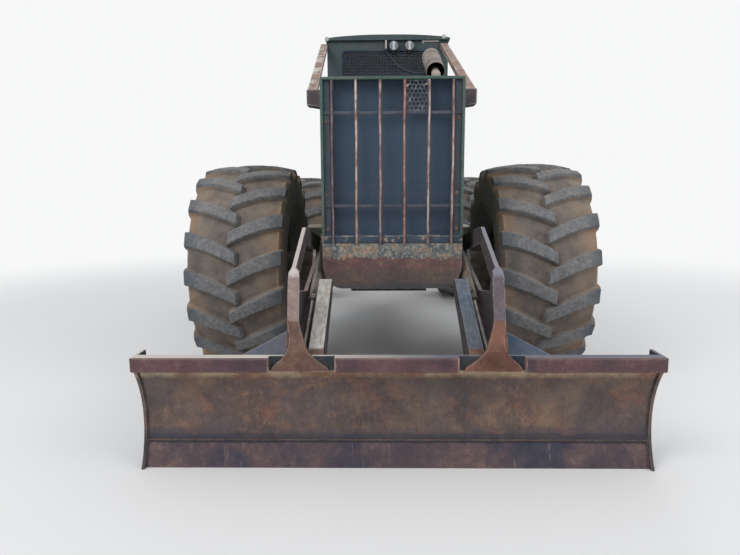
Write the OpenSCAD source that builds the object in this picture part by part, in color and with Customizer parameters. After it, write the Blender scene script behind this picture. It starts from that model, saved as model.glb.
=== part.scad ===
// Articulated log skidder with a decking blade, a closed cab, four wide
// logging tyres, an arch, a boom and a hanging log grapple.
// The machine faces -Y. X is across it, Z is up and the ground is z = 0.
// Millimetres. The origin is under the middle of the whole machine.

/* [Wheels] */
// Tyre diameter over the lug tips
tyre_d = 1850; // [1700:10:1900]
// Tyre width
tyre_w = 780; // [600:10:800]
// Rim diameter at the bead
rim_d = 813; // [760:1:840]
// Number of lugs on each side of a tyre
lug_count = 18; // [16:1:20]
// Height of the lugs
lug_height = 50; // [35:1:60]
// Angle by which a lug's shoulder end stands above its inner end, at the front
lug_sweep = 11.7; // [8:0.1:14]
// Distance between the middles of the left and right tyres
track = 2472; // [2440:4:2600]
// Distance between the axles
wheelbase = 3665; // [3600:5:3800]

/* [Axles] */
// Diameter of the axle tubes
axle_tube_d = 270; // [200:5:290]
// Diameter of the differential housing
diff_d = 430; // [380:5:460]
// Diameter of the wheel spindles
spindle_d = 190; // [150:5:200]
// Diameter of the planetary hub drums
hub_d = 380; // [320:5:400]

/* [Blade] */
// Blade width
blade_w = 2972; // [2800:4:3100]
// Blade height
blade_h = 687; // [650:1:720]
// Height of the rail along the blade's top
rail_h = 84; // [60:2:100]
// Depth of the rail
rail_d = 72; // [60:2:90]
// Thickness of the blade's plate
blade_t = 20; // [16:1:26]
// Height of the cutting edge
edge_h = 150; // [120:5:180]
// Thickness of the cutting edge
edge_t = 25; // [20:1:32]
// Distance from the blade's front to the front axle
front_overhang = 2166; // [2120:2:2220]

/* [Blade arms] */
// Thickness of the arm plates
arm_t = 25; // [20:1:30]
// Distance from the machine's middle to the arm plates' inner faces
arm_x = 597; // [595:1:610]
// Height of the arms' pivot
arm_pivot_z = 980; // [960:5:1000]
// Distance from the front axle forward to the arms' pivot
arm_pivot_dy = 366; // [350:2:380]
// Height of the top corner of the arm plates
arm_top_z = 1360; // [1320:5:1380]
// Diameter of the pivot pins
pin_d = 70; // [50:1:80]
// Middle of the blade cylinders, across the machine
blade_cyl_x = 553; // [552:1:556]
// Barrel diameter of the blade cylinders
blade_cyl_d = 70; // [60:1:72]
// Rod diameter of the blade cylinders
blade_rod_d = 50; // [40:1:54]

/* [Hood] */
// Width of the hood
hood_w = 1022; // [980:2:1024]
// Height of the hood's top
hood_top_z = 2398; // [2340:2:2420]
// Height of the hood's lower edge and the nose's top
hood_low_z = 1284; // [1270:2:1300]
// Height of the nose's bottom
nose_low_z = 894; // [880:2:920]
// Distance from the front axle forward to the grille
grille_dy = 1094; // [1060:2:1110]
// Thickness of the hood's sheet
sheet_t = 8; // [6:1:12]
// Number of grille bars
grille_bars = 6; // [5:1:8]
// Distance between grille bars
bar_pitch = 172; // [120:1:180]
// Width of a grille bar
bar_w = 20; // [14:1:30]

/* [Cab] */
// Width of the cab
cab_w = 1300; // [1240:5:1320]
// Length of the cab
cab_len = 1200; // [1100:5:1240]
// Distance from the front axle back to the cab's front
cab_dy = 1150; // [1120:5:1200]
// Height of the cab's floor
cab_floor_z = 1310; // [1300:2:1330]
// Height of the cab walls' top
cab_top_z = 3215; // [3150:5:3260]
// Thickness of the cab walls
cab_t = 60; // [50:1:70]
// Thickness of the roof plate
roof_t = 55; // [40:1:60]
// Thickness of a door
door_t = 40; // [35:1:45]

/* [Frames] */
// Distance between the outer faces of the frame rails
rail_gauge = 760; // [700:5:780]
// Thickness of the frame rails
rail_t = 30; // [25:1:40]
// Height of the front frame's top
frame_top_z = 1280; // [1270:2:1284]
// Height of the frames' bottom
frame_low_z = 620; // [600:5:640]
// Diameter of the articulation pins
hinge_pin_d = 110; // [90:2:120]
// Radius of the articulation ears
hinge_ear_r = 150; // [130:5:160]

/* [Arch and boom] */
// Height of the arch's pivot
arch_pivot_z = 1330; // [1310:5:1360]
// Distance from the rear axle back to the arch's pivot
arch_pivot_dy = 200; // [180:5:220]
// Height of the boom's pivot
boom_pivot_z = 2620; // [2580:5:2660]
// Distance from the rear axle back to the boom's pivot
boom_pivot_dy = 420; // [400:5:440]
// Distance from the boom's pivot back to the grapple's pin
boom_reach = 1000; // [960:5:1040]
// Height of the grapple's pin
grapple_pin_z = 2380; // [2340:5:2420]
// Distance between the middles of the arch posts
arch_gauge = 980; // [940:5:1000]
// Width of the boom's box
boom_w = 240; // [200:5:260]

/* [Grapple] */
// Inner radius of the closed tongs' mouth
mouth_r = 520; // [480:5:540]
// Depth of a tong's arm at its pivot
tong_depth = 90; // [80:2:100]
// Distance between the pivots of the two tongs
tong_gauge = 600; // [580:5:620]
// Length of the grapple head, along the machine
head_len = 420; // [400:5:440]
// Diameter of the tong pivot pins
tong_pin_d = 60; // [50:2:70]

/* [Hidden] */
$fn = 48;
fit = 0.3;

axle_z = tyre_d / 2;
half_head = head_len / 2;
rear_overhang = boom_pivot_dy + boom_reach + half_head;
total_len = front_overhang + wheelbase + rear_overhang;
front_y = -total_len / 2 + front_overhang;
rear_y = front_y + wheelbase;
hinge_y = (front_y + rear_y) / 2;
blade_y = front_y - front_overhang;
grille_y = front_y - grille_dy;
arm_pivot_y = front_y - arm_pivot_dy;
cab_y = front_y + cab_dy;
hood_back_y = cab_y - 40;
hood_half = hood_w / 2;
rail_half = rail_gauge / 2;
wheel_x = track / 2;

// Blade cylinder pins: on the frame, and on the blade
lift_pin_y = arm_pivot_y - 100;
lift_pin_z = 1215;
blade_pin_y = blade_y + 215;
blade_pin_z = 620;

// Arch, boom and grapple pins
arch_y = rear_y + arch_pivot_dy;
boom_y = rear_y + boom_pivot_dy;
grapple_y = boom_y + boom_reach;

// Heights shared by the two frames
axle_pad_z = 1100;
rear_top_z = 1200;
hinge_top_z = 1060;
hinge_ear_t = 45;

// Smaller pins
lift_pin_d = 40;
steer_pin_d = 50;
cylinder_pin_d = 50;

// Steering cylinders: pins on the front frame and on the rear frame
steer_base = [250, hinge_y - 1080, 830];
steer_eye = [255, hinge_y + 100, 830];
steer_gap = 84;

// Arch cylinders: pin on the rear frame, and pin on the arch
arch_base = [arch_gauge / 2, rear_y - 700, rear_top_z + 30];
arch_eye = [arch_gauge / 2, arch_y - 160, 2050];

// Boom cylinder: pin on the arch, and eye on the boom
boom_base = [0, arch_y + 150, 1790];
boom_eye = [0, boom_y + 430, 2400];

// Extrudes a drawing of (y, z) points by t across the machine, from x
module across(x, t) {
    translate([x, 0, 0])
        rotate([90, 0, 90])
            linear_extrude(t)
                children();
}

// A round bar across the machine, centred on x = 0
module bar_x(y, z, d, len) {
    translate([-len / 2, y, z])
        rotate([0, 90, 0])
            cylinder(d = d, h = len);
}

// A round bar from one point to another
module rod_between(a, b, d) {
    v = b - a;
    len = norm(v);
    translate(a)
        rotate([0, acos(v[2] / len), atan2(v[1], v[0])])
            cylinder(d = d, h = len);
}

module both_sides() {
    children();
    mirror([1, 0, 0])
        children();
}

// A drawing of a w by h window with round corners
module rounded(w, h, r) {
    union() {
        translate([r, 0])
            square([w - 2 * r, h]);
        translate([0, r])
            square([w, h - 2 * r]);
        for (x = [r, w - r], y = [r, h - r])
            translate([x, y])
                circle(r);
    }
}

// Wheels

// Columns round a tyre in one lug pitch: [share of the pitch, side whose lug it is on]
lug_columns = [[-0.16, 1], [0.16, 1], [0.34, -1], [0.66, -1]];

// Rows across half a tyre, from the crown to the bead:
// [distance from the middle, the same in a groove, radius on a lug, radius in a groove,
// share of the lugs' sweep]
tyre_half = tyre_w / 2;
tyre_tip = tyre_d / 2;
bead_r = (rim_d / 2 + fit) / cos(180 / (lug_count * len(lug_columns)));
lug_rows = [
    [45, 45, tyre_tip, tyre_tip - lug_height, 0.1],
    [tyre_half, tyre_half * 0.93, tyre_tip - 22, tyre_tip - lug_height - 30, 1],
    [tyre_half * 0.995, tyre_half * 0.98, tyre_tip - 150, tyre_tip - 150, 1],
    [tyre_half * 0.97, tyre_half * 0.97, tyre_tip - 330, tyre_tip - 330, 1],
    [tyre_half * 0.70, tyre_half * 0.70, bead_r, bead_r, 1]
];

// The point of a column on a row, on the side towards +X or -X
function tyre_point(pitch, column, row, side) =
    let (on_lug = column[1] == side,
        angle = (pitch + column[0]) * 360 / lug_count + row[4] * lug_sweep,
        r = on_lug ? row[2] : row[3],
        x = side * (on_lug ? row[0] : row[1]))
    [x, -r * cos(angle), r * sin(angle)];

// Tyre with chevron lugs that run from each shoulder to just past the middle
module tyre(x, y) {
    rows = len(lug_rows);
    ring = 2 * rows;
    columns = lug_count * len(lug_columns);
    points = [for (pitch = [0:lug_count - 1]) for (column = lug_columns) each concat(
        [for (i = [rows - 1:-1:0]) tyre_point(pitch, column, lug_rows[i], -1)],
        [for (i = [0:rows - 1]) tyre_point(pitch, column, lug_rows[i], 1)])];
    faces = [for (c = [0:columns - 1]) for (k = [0:ring - 1])
        let (a = c * ring + k, b = c * ring + (k + 1) % ring,
            d = (c + 1) % columns * ring + k, e = (c + 1) % columns * ring + (k + 1) % ring)
        each [[a, d, e], [a, e, b]]];
    color([0.30, 0.29, 0.28])
        translate([x, y, axle_z])
            polyhedron(points, faces);
}

// Rim with its planetary hub drum, outer side towards +X
module rim_solid() {
    r = rim_d / 2;
    half = tyre_half;
    bore = spindle_d / 2 + fit;
    rotate([0, 90, 0])
        rotate_extrude($fn = 72)
            polygon([[bore, -170], [hub_d / 2, -170], [hub_d / 2, -70], [r - 16, -100],
                [r - 16, -half * 0.66], [r, -half * 0.70], [r, half * 0.70],
                [r - 16, half * 0.66], [r - 16, -60], [hub_d / 2, -30],
                [hub_d / 2 - 30, 60], [hub_d / 4, 90], [0, 90], [0, 40], [bore, 40]]);
}

module rim(x, y) {
    color([0.26, 0.25, 0.22])
        translate([x, y, axle_z])
            mirror([x < 0 ? 1 : 0, 0, 0])
                rim_solid();
}

// Axle with its differential, tubes, hub carriers and spindles
module axle(y, pad_top) {
    carrier_x = wheel_x - 170 - fit;
    color([0.30, 0.28, 0.22])
        translate([0, y, 0]) {
            bar_x(0, axle_z, axle_tube_d, 2 * carrier_x - 180);
            translate([0, 0, axle_z])
                rotate([0, 90, 0])
                    rotate_extrude($fn = 64)
                        polygon([[0, -250], [axle_tube_d / 2, -250], [diff_d / 2 - 30, -130],
                            [diff_d / 2, -60], [diff_d / 2, 60], [diff_d / 2 - 30, 130],
                            [axle_tube_d / 2, 250], [0, 250]]);
            both_sides() {
                translate([carrier_x - 90, 0, axle_z])
                    rotate([0, 90, 0])
                        cylinder(d = hub_d - 20, h = 90);
                translate([carrier_x - 1, 0, axle_z])
                    rotate([0, 90, 0])
                        cylinder(d = spindle_d, h = 205);
                translate([rail_half - rail_t - 40, -120, axle_z])
                    cube([rail_t + 80, 240, pad_top - axle_z]);
            }
        }
}

module front_axle() {
    axle(front_y, axle_pad_z);
}

module rear_axle() {
    axle(rear_y, axle_pad_z);
}

// Front frame

module front_chassis() {
    front = grille_y + 150;
    web = hinge_y - 250;
    color([0.20, 0.25, 0.18]) {
        // Rails, arched over the axle
        both_sides()
            across(rail_half - rail_t, rail_t)
                polygon([[front, 900], [front_y - 280, 900], [front_y - 240, axle_pad_z],
                    [front_y + 240, axle_pad_z], [front_y + 420, frame_low_z],
                    [web, frame_low_z], [web, frame_top_z], [front, frame_top_z]]);
        // Cross plates and belly
        translate([-rail_half, front, 900])
            cube([rail_gauge, 30, frame_top_z - 900]);
        translate([-rail_half, front_y + 420, frame_low_z])
            cube([rail_gauge, web - front_y - 420, 25]);
        difference() {
            translate([-rail_half, web - 30, frame_low_z])
                cube([rail_gauge, 30, frame_top_z - frame_low_z]);
            both_sides()
                translate([150, web - 31, steer_base[2] - 65])
                    cube([rail_half - rail_t - 150, 32, 130]);
        }
        translate([-rail_half, front, frame_top_z - 25])
            cube([rail_gauge, web - front, 25]);
        // Cab supports over the joint, and the cab's mounts
        both_sides() {
            translate([230, web - 1, rear_top_z + 15])
                cube([rail_half - 230, cab_y + cab_len - 100 - web, frame_top_z - rear_top_z - 15]);
            for (y = [cab_y + 90, cab_y + cab_len - 170])
                translate([310, y, frame_top_z - 1])
                    cylinder(d = 110, h = cab_floor_z - frame_top_z + 1);
        }
        // Articulation ears and their pins
        for (z = [frame_low_z, hinge_top_z])
            translate([0, 0, z])
                hinge_ear(web - 1, hinge_y);
        translate([0, hinge_y, frame_low_z])
            cylinder(d = hinge_pin_d, h = hinge_top_z + hinge_ear_t - frame_low_z);
        // Blade arm pivots and lift cylinder pins
        both_sides() {
            translate([rail_half - 1, arm_pivot_y, arm_pivot_z])
                rotate([0, 90, 0])
                    cylinder(d = 180, h = arm_x - 6 - rail_half + 1);
            translate([arm_x - 7, arm_pivot_y, arm_pivot_z])
                rotate([0, 90, 0])
                    cylinder(d = pin_d, h = arm_t + 27);
            translate([rail_half - 1, lift_pin_y - 60, lift_pin_z - 120])
                cube([blade_cyl_x - 39 - rail_half, 120, 119]);
            translate([rail_half - 1, lift_pin_y, lift_pin_z])
                rotate([0, 90, 0])
                    cylinder(d = 110, h = blade_cyl_x - 39 - rail_half);
            translate([blade_cyl_x - 41, lift_pin_y, lift_pin_z])
                rotate([0, 90, 0])
                    cylinder(d = lift_pin_d, h = 73);
        }
        // Steering cylinder brackets
        both_sides()
            steer_base_ears();
    }
}

// One ear of the articulation joint, from a web to the pin
module hinge_ear(y_web, y_pin) {
    linear_extrude(hinge_ear_t)
        union() {
            translate([0, y_pin])
                circle(r = hinge_ear_r);
            polygon([[-hinge_ear_r - 110, y_web], [hinge_ear_r + 110, y_web],
                [hinge_ear_r, y_pin], [-hinge_ear_r, y_pin]]);
        }
}

module steer_base_ears() {
    for (s = [-1, 1])
        translate([0, 0, steer_base[2] + s * (steer_gap / 2 + 12.5) - 12.5])
            linear_extrude(25)
                union() {
                    translate([steer_base[0], steer_base[1]])
                        circle(d = 110);
                    translate([steer_base[0], steer_base[1] - 55])
                        square([rail_half - rail_t - steer_base[0] + 1, 110]);
                }
    translate([steer_base[0], steer_base[1], steer_base[2] - steer_gap / 2 - 1])
        cylinder(d = steer_pin_d, h = steer_gap + 2);
}

// Engine: crankcase with its pan, head, bell housing and fan
module engine_block() {
    start = grille_y + 420;
    len = 1250;
    base = frame_top_z;
    color([0.35, 0.35, 0.33]) {
        translate([0, start + len, base])
            rotate([90, 0, 0])
                linear_extrude(len)
                    polygon([[-190, 0], [190, 0], [300, 130], [300, 420], [210, 470], [190, 700],
                        [120, 820], [-120, 820], [-190, 700], [-210, 470], [-300, 420], [-300, 130]]);
        translate([0, start + len + 120, base + 330])
            rotate([90, 0, 0])
                cylinder(d = 520, h = 121);
        translate([0, start + 1, base + 430])
            rotate([90, 0, 0])
                cylinder(d = 140, h = 90);
        translate([0, start - 50, base + 430])
            rotate([90, 0, 0])
                cylinder(d = 640, h = 40);
    }
}

// Half outline of the nose, from its top outer corner round to the middle of its bottom
function nose_side(inset) = concat(
    [[hood_half - inset, hood_low_z - fit]],
    [for (a = [0:15:90])
        [hood_half - nose_corner_w + (nose_corner_w - inset) * cos(a),
            nose_low_z + nose_corner_h - (nose_corner_h - inset) * sin(a)]]);

module nose_outline(inset) {
    half = nose_side(inset);
    polygon(concat(half, [for (i = [len(half) - 1:-1:0]) [-half[i][0], half[i][1]]]));
}

nose_back_y = grille_y + 150;
nose_depth = 150 - bar_w - 3;
nose_t = 14;
nose_corner_w = 140;
nose_corner_h = 186;
nose_lip_h = 40;

// Bent guard plate under the grille and behind its bars, with a lip along its top
module nose() {
    color([0.42, 0.22, 0.15])
        difference() {
            translate([0, nose_back_y, 0])
                rotate([90, 0, 0])
                    linear_extrude(nose_depth)
                        nose_outline(0);
            translate([0, nose_back_y + 1, 0])
                rotate([90, 0, 0])
                    linear_extrude(nose_depth - nose_t + 1)
                        intersection() {
                            nose_outline(nose_t);
                            translate([-hood_half, 0])
                                square([hood_w, hood_low_z - nose_lip_h]);
                        }
        }
}

hood_bend_r = 25;
seam_w = 8;
seam_depth = 3;
louvre_h = 16;
louvre_pitch = 46;
louvre_len = 420;
louvre_rows = 9;

module hood_outline(inset) {
    r = hood_bend_r - inset;
    w = hood_half - inset;
    top = hood_top_z - inset;
    union() {
        translate([-w, hood_low_z])
            square([2 * w, top - r - hood_low_z]);
        translate([-w + r, hood_low_z])
            square([2 * (w - r), top - hood_low_z]);
        for (s = [-1, 1])
            translate([s * (w - r), top - r])
                circle(r);
    }
}

module hood() {
    start = grille_y + 40;
    length = hood_back_y - start;
    door = [start + 220, start + 1180, hood_low_z + 90, hood_top_z - 150];
    color([0.12, 0.24, 0.16])
        difference() {
            translate([0, hood_back_y, 0])
                rotate([90, 0, 0])
                    linear_extrude(length)
                        hood_outline(0);
            translate([0, hood_back_y - sheet_t, -1])
                rotate([90, 0, 0])
                    linear_extrude(length)
                        hood_outline(sheet_t);
            both_sides() {
                // Seams round the engine door
                for (y = [door[0], door[1] - seam_w])
                    translate([hood_half - seam_depth, y, door[2]])
                        cube([seam_depth + 1, seam_w, door[3] - door[2]]);
                for (z = [door[2], door[3] - seam_w])
                    translate([hood_half - seam_depth, door[0], z])
                        cube([seam_depth + 1, door[1] - door[0], seam_w]);
                // Louvre slots in the door
                for (i = [0:louvre_rows - 1])
                    translate([hood_half - sheet_t - 1, (door[0] + door[1] - louvre_len) / 2,
                        door[2] + 260 + i * louvre_pitch])
                        cube([sheet_t + 2, louvre_len, louvre_h]);
            }
        }
}

grille_depth = 40;
grille_edge = 20;
flange_w = 45;
bar_low_z = hood_low_z - 55;
cross_z = [1500, 2155];
patch_t = 5;
patch_hole_d = 22;
patch_pitch = 29;

// Frame round the grille: thin edges with a flange set back inside them, six round
// bars that reach down over the nose, two cross rails and a perforated patch
module grille() {
    h = hood_top_z - hood_low_z;
    patch_x = bar_pitch / 2;
    patch_low = cross_z[1] + 9;
    patch_h = hood_top_z - grille_edge + 1 - patch_low;
    color([0.45, 0.30, 0.26]) {
        difference() {
            translate([-hood_half, grille_y, hood_low_z])
                cube([hood_w, grille_depth, h]);
            translate([-hood_half + grille_edge, grille_y - 1, hood_low_z - 1])
                cube([hood_w - 2 * grille_edge, grille_depth - 9, h - grille_edge + 1]);
            translate([-hood_half + grille_edge + flange_w, grille_y, hood_low_z - 1])
                cube([hood_w - 2 * (grille_edge + flange_w), grille_depth + 1, h - grille_edge + 1]);
        }
        for (i = [0:grille_bars - 1])
            translate([(i - (grille_bars - 1) / 2) * bar_pitch, grille_y + bar_w / 2 + 1, bar_low_z])
                cylinder(d = bar_w, h = hood_top_z - bar_low_z - grille_edge + 1, $fn = 24);
        for (z = cross_z)
            translate([-hood_half + grille_edge - 1, grille_y + bar_w - 1, z - 10])
                cube([hood_w - 2 * grille_edge + 2, 14, 20]);
        // Perforated patch beside the fourth bar
        difference() {
            translate([patch_x, grille_y + bar_w, patch_low])
                cube([bar_pitch, patch_t, patch_h]);
            for (row = [0:6], column = [0:4])
                translate([patch_x + 22 + (column + (row % 2) / 2) * patch_pitch,
                    grille_y + bar_w - 1, patch_low + 20 + row * patch_pitch])
                    rotate([-90, 0, 0])
                        cylinder(d = patch_hole_d, h = patch_t + 2, $fn = 16);
        }
    }
}

// Radiator core, its upper corners cut back to clear the hood's bends
module radiator() {
    half = hood_half - sheet_t;
    top = hood_top_z - sheet_t - 2;
    color([0.10, 0.11, 0.12])
        translate([0, grille_y + 200, 0])
            rotate([90, 0, 0])
                linear_extrude(110)
                    polygon([[-half, hood_low_z], [half, hood_low_z], [half, top - hood_bend_r],
                        [half - hood_bend_r, top], [-half + hood_bend_r, top],
                        [-half, top - hood_bend_r]]);
}

// Cab

door_y0 = 150;
door_len = 760;
door_low = 120;
pillar_w = 150;
header_h = 90;
// Heights over the floor that follow the cab's height
door_high = round(0.945 * (cab_top_z - cab_floor_z));
screen_low = round(0.6194 * (cab_top_z - cab_floor_z));
rear_window_low = round(0.3675 * (cab_top_z - cab_floor_z));
corner_r = 60;
glass_t = 6;

// Windscreen and rear window, t thick: [distance behind the cab's front, sill height]
module cab_windows(t, rows) {
    h = cab_top_z - cab_floor_z;
    for (row = rows)
        translate([-cab_w / 2 + pillar_w, row[0] + t, row[1]])
            rotate([90, 0, 0])
                linear_extrude(t)
                    rounded(cab_w - 2 * pillar_w, h - row[1] - header_h, corner_r);
}

module cab_shell() {
    h = cab_top_z - cab_floor_z;
    color([0.13, 0.24, 0.16])
        cab_knuckles();
    color([0.13, 0.24, 0.16])
        translate([0, cab_y, cab_floor_z])
            difference() {
                translate([-cab_w / 2, 0, 0])
                    cube([cab_w, cab_len, h]);
                translate([-cab_w / 2 + cab_t, cab_t, cab_t])
                    cube([cab_w - 2 * cab_t, cab_len - 2 * cab_t, h]);
                cab_windows(cab_t + 2, [[-1, screen_low], [cab_len - cab_t - 1, rear_window_low]]);
                // Door openings
                for (s = [-1, 1])
                    translate([s * (cab_w / 2 - cab_t / 2) - cab_t / 2 - 1, door_y0, door_low])
                        cube([cab_t + 2, door_len, door_high - door_low]);
            }
}

module cab_glass() {
    color([0.4, 0.5, 0.5, 0.35])
        translate([0, cab_y, cab_floor_z])
            cab_windows(glass_t, [[27, screen_low], [cab_len - 33, rear_window_low]]);
}

// Roof: [distance from the middle, drop below its top], flat in the middle
roof_crown = [[150, 0], [300, 4], [450, 12], [570, 22], [665, 35]];

module cab_roof() {
    over = 40;
    top = cab_top_z + roof_t;
    right = [for (row = roof_crown) [row[0], top - row[1]]];
    left = [for (i = [len(roof_crown) - 1:-1:0]) [-roof_crown[i][0], top - roof_crown[i][1]]];
    half = right[len(right) - 1][0];
    color([0.13, 0.24, 0.16])
        translate([0, cab_y + cab_len + 20, 0])
            rotate([90, 0, 0])
                linear_extrude(cab_len + over + 20)
                    polygon(concat([[-half, cab_top_z], [half, cab_top_z]],
                        [for (i = [len(right) - 1:-1:0]) right[i]],
                        [for (i = [len(left) - 1:-1:0]) left[i]]));
}

// Door hinge: pin axis, and the heights of the knuckles over the cab's floor
door_hinge_x = cab_w / 2 + 20;
door_hinge_y = cab_y + door_y0 - 5;
knuckle_z = [400, 1300];
knuckle_h = 60;
knuckle_d = 32;
knuckle_pin_d = 16;

module door(side) {
    w = door_len - 12;
    h = door_high - door_low - 12;
    color([0.13, 0.26, 0.17])
        mirror([side < 0 ? 1 : 0, 0, 0]) {
            translate([cab_w / 2 - door_t, cab_y + door_y0 + 6, cab_floor_z + door_low + 6])
                difference() {
                    cube([door_t, w, h]);
                    translate([-1, 70, 700])
                        rotate([90, 0, 90])
                            linear_extrude(door_t + 2)
                                rounded(w - 140, h - 770, corner_r);
                }
            for (z = knuckle_z)
                translate([0, 0, cab_floor_z + z])
                    difference() {
                        union() {
                            translate([door_hinge_x, door_hinge_y, 0])
                                cylinder(d = knuckle_d, h = knuckle_h);
                            translate([cab_w / 2 - 1, door_hinge_y + 11, 0])
                                cube([14, 60, knuckle_h]);
                            translate([cab_w / 2 + 8, door_hinge_y + 5, 0])
                                cube([12, 60, knuckle_h]);
                        }
                        translate([door_hinge_x, door_hinge_y, -1])
                            cylinder(d = knuckle_pin_d + 2 * fit, h = knuckle_h + 2);
                    }
        }
}

// Hinge knuckles and pins on the cab, below each of the door's
module cab_knuckles() {
    both_sides()
        for (z = knuckle_z)
            translate([0, 0, cab_floor_z + z - knuckle_h - fit]) {
                translate([door_hinge_x, door_hinge_y, 0])
                    cylinder(d = knuckle_d, h = knuckle_h);
                translate([door_hinge_x, door_hinge_y, 0])
                    cylinder(d = knuckle_pin_d, h = 2 * knuckle_h);
                translate([cab_w / 2 - 1, door_hinge_y - 60, 0])
                    cube([14, 61, knuckle_h]);
            }
}

seat_w = 500;
seat_d = 500;
seat_t = 120;
seat_base_w = 300;
seat_base_h = 330;
seat_back_w = 460;
seat_back_h = 520;

module seat() {
    color([0.10, 0.10, 0.10])
        translate([0, cab_y + 520, cab_floor_z + cab_t]) {
            translate([-seat_base_w / 2, 80, 0])
                cube([seat_base_w, seat_base_w, seat_base_h]);
            translate([-seat_w / 2, 0, seat_base_h])
                cube([seat_w, seat_d, seat_t]);
            translate([-seat_back_w / 2, seat_d - 80, seat_base_h + seat_t - 1])
                cube([seat_back_w, seat_t, seat_back_h]);
        }
}

console_w = 520;
console_d = 160;
console_h = 760;
steer_wheel_d = 380;
steer_grip = 30;
steer_wheel_at = [0, cab_y + 330, cab_floor_z + cab_t + console_h + 20];
steer_wheel_lean = 25;

// Console, and a steering wheel with one spoke on its column
module controls() {
    column_low = [0, cab_y + cab_t + console_d - 10, cab_floor_z + cab_t + console_h - 160];
    color([0.12, 0.12, 0.12]) {
        translate([-console_w / 2, cab_y + cab_t, cab_floor_z + cab_t])
            cube([console_w, console_d, console_h]);
        translate(steer_wheel_at)
            rotate([-steer_wheel_lean, 0, 0]) {
                difference() {
                    cylinder(d = steer_wheel_d, h = steer_grip);
                    translate([0, 0, -1])
                        cylinder(d = steer_wheel_d - 2 * steer_grip, h = steer_grip + 2);
                }
                translate([-steer_wheel_d / 2 + 25, -15, 5])
                    cube([steer_wheel_d - 50, 30, 15]);
            }
        rod_between(column_low, steer_wheel_at + [0, 3, 10], 50);
    }
}

// Sloped guard rails from brackets on the hood's sides up to the cab's front corners:
riser_w = 70;
riser_t = 50;
riser_low_x = hood_half + 89;
riser_low_y = grille_y + 330;
riser_low_z = hood_top_z - 53;
riser_high_z = cab_top_z - 55;
// [side, distance of the high end from the middle]
risers = [[-1, cab_w / 2 + 30], [1, cab_w / 2 - 45]];

// A box beam from one point to another, w across and t deep
module beam_between(a, b, w, t) {
    v = b - a;
    len = norm(v);
    translate(a)
        rotate([0, acos(v[2] / len), atan2(v[1], v[0])])
            translate([-t / 2, -w / 2, 0])
                cube([t, w, len]);
}

module limb_risers() {
    color([0.45, 0.38, 0.34])
        for (row = risers) {
            low = [row[0] * riser_low_x, riser_low_y, riser_low_z];
            high = [row[0] * row[1], cab_y, riser_high_z];
            difference() {
                beam_between(low, high + (high - low) * 0.03, riser_w, riser_t);
                translate([-cab_w, cab_y - fit, cab_floor_z])
                    cube([2 * cab_w, cab_len, 2 * cab_len]);
            }
            // Bracket on the hood's side
            mirror([row[0] < 0 ? 1 : 0, 0, 0])
                translate([0, riser_low_y + 110, 0])
                    rotate([90, 0, 0])
                        linear_extrude(140)
                            polygon([[hood_half, riser_low_z - 110], [riser_low_x + 40, riser_low_z - 90],
                                [riser_low_x + 40, riser_low_z + 20], [hood_half, riser_low_z + 20]]);
        }
}

// Muffler: a drum open at its front end, fed by a pipe that bends up from the hood
muffler_low = [hood_half - 126, grille_y + 860, hood_top_z + 207];
muffler_high = [hood_half - 133, grille_y + 1260, hood_top_z + 417];
muffler_d = 158;
muffler_wall = 5;
exhaust_d = 70;

module muffler() {
    v = muffler_high - muffler_low;
    unit = v / norm(v);
    bend = muffler_low - unit * 20 - [0, 0, 20];
    color([0.30, 0.25, 0.21]) {
        difference() {
            rod_between(muffler_low, muffler_high, muffler_d);
            rod_between(muffler_low - unit, muffler_low + v * 0.6, muffler_d - 2 * muffler_wall);
        }
        rod_between(bend, muffler_low + v * 0.7, exhaust_d);
        translate(bend)
            sphere(d = exhaust_d + 8);
        translate([bend[0], bend[1], hood_top_z])
            cylinder(d = exhaust_d, h = bend[2] - hood_top_z);
        rod_between(muffler_high - unit, muffler_high + unit * 90, exhaust_d);
    }
}

// Two round lamps under the roof's front edge: bowl, rim and stalk
module work_lamps() {
    color([0.75, 0.75, 0.70])
        for (x = [66, 235])
            translate([x, cab_y - fit, cab_top_z - 62]) {
                rotate([90, 0, 0])
                    rotate_extrude($fn = 32)
                        polygon([[0, 0], [26, 0], [40, 22], [50, 46], [50, 62], [44, 62],
                            [44, 56], [0, 50]]);
            }
}

tank_dy = 800;
tank_len = 700;
tank_w = 560;
tank_bevel = 60;
tank_z = [760, 1225];
tread_z = [560, 860];
tread_proud = 90;
tread_w = 290;
tread_len = 400;
tread_t = 30;

// Fuel tank and tool box beside the frame, each with two treads on hangers
module side_steps() {
    y0 = hinge_y - tank_dy;
    out = rail_half + tank_w;
    tread_y = y0 + (tank_len - tread_len) / 2;
    hanger_t = 25;
    color([0.20, 0.25, 0.18])
        both_sides() {
            translate([rail_half, y0, 0])
                rotate([90, 0, 90])
                    linear_extrude(out - rail_half)
                        polygon([[tank_bevel, tank_z[0]], [tank_len - tank_bevel, tank_z[0]],
                            [tank_len, tank_z[0] + tank_bevel], [tank_len, tank_z[1]],
                            [0, tank_z[1]], [0, tank_z[0] + tank_bevel]]);
            for (z = tread_z) {
                translate([out + tread_proud - tread_w, tread_y, z])
                    cube([tread_w, tread_len, tread_t]);
                for (y = [tread_y, tread_y + tread_len - hanger_t])
                    translate([out - 60, y, z])
                        cube([50, hanger_t, 330]);
            }
        }
}

// Blade

// Round curve of the moldboard's face: its centre from the blade's front, and its radius
curve_y = 418;
curve_z = 283;
curve_r = 567;
end_plate_t = 16;
end_plate_proud = 14;
rail_back = 50;
rail_gap = [345, 715];
rib_t = 16;

module curve_disc(r) {
    translate([blade_y - curve_y, curve_z])
        circle(r = r, $fn = 96);
}

// How far back the moldboard's face is at a height
function face_y(z) = blade_y - curve_y + sqrt(curve_r * curve_r - (z - curve_z) * (z - curve_z));

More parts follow.
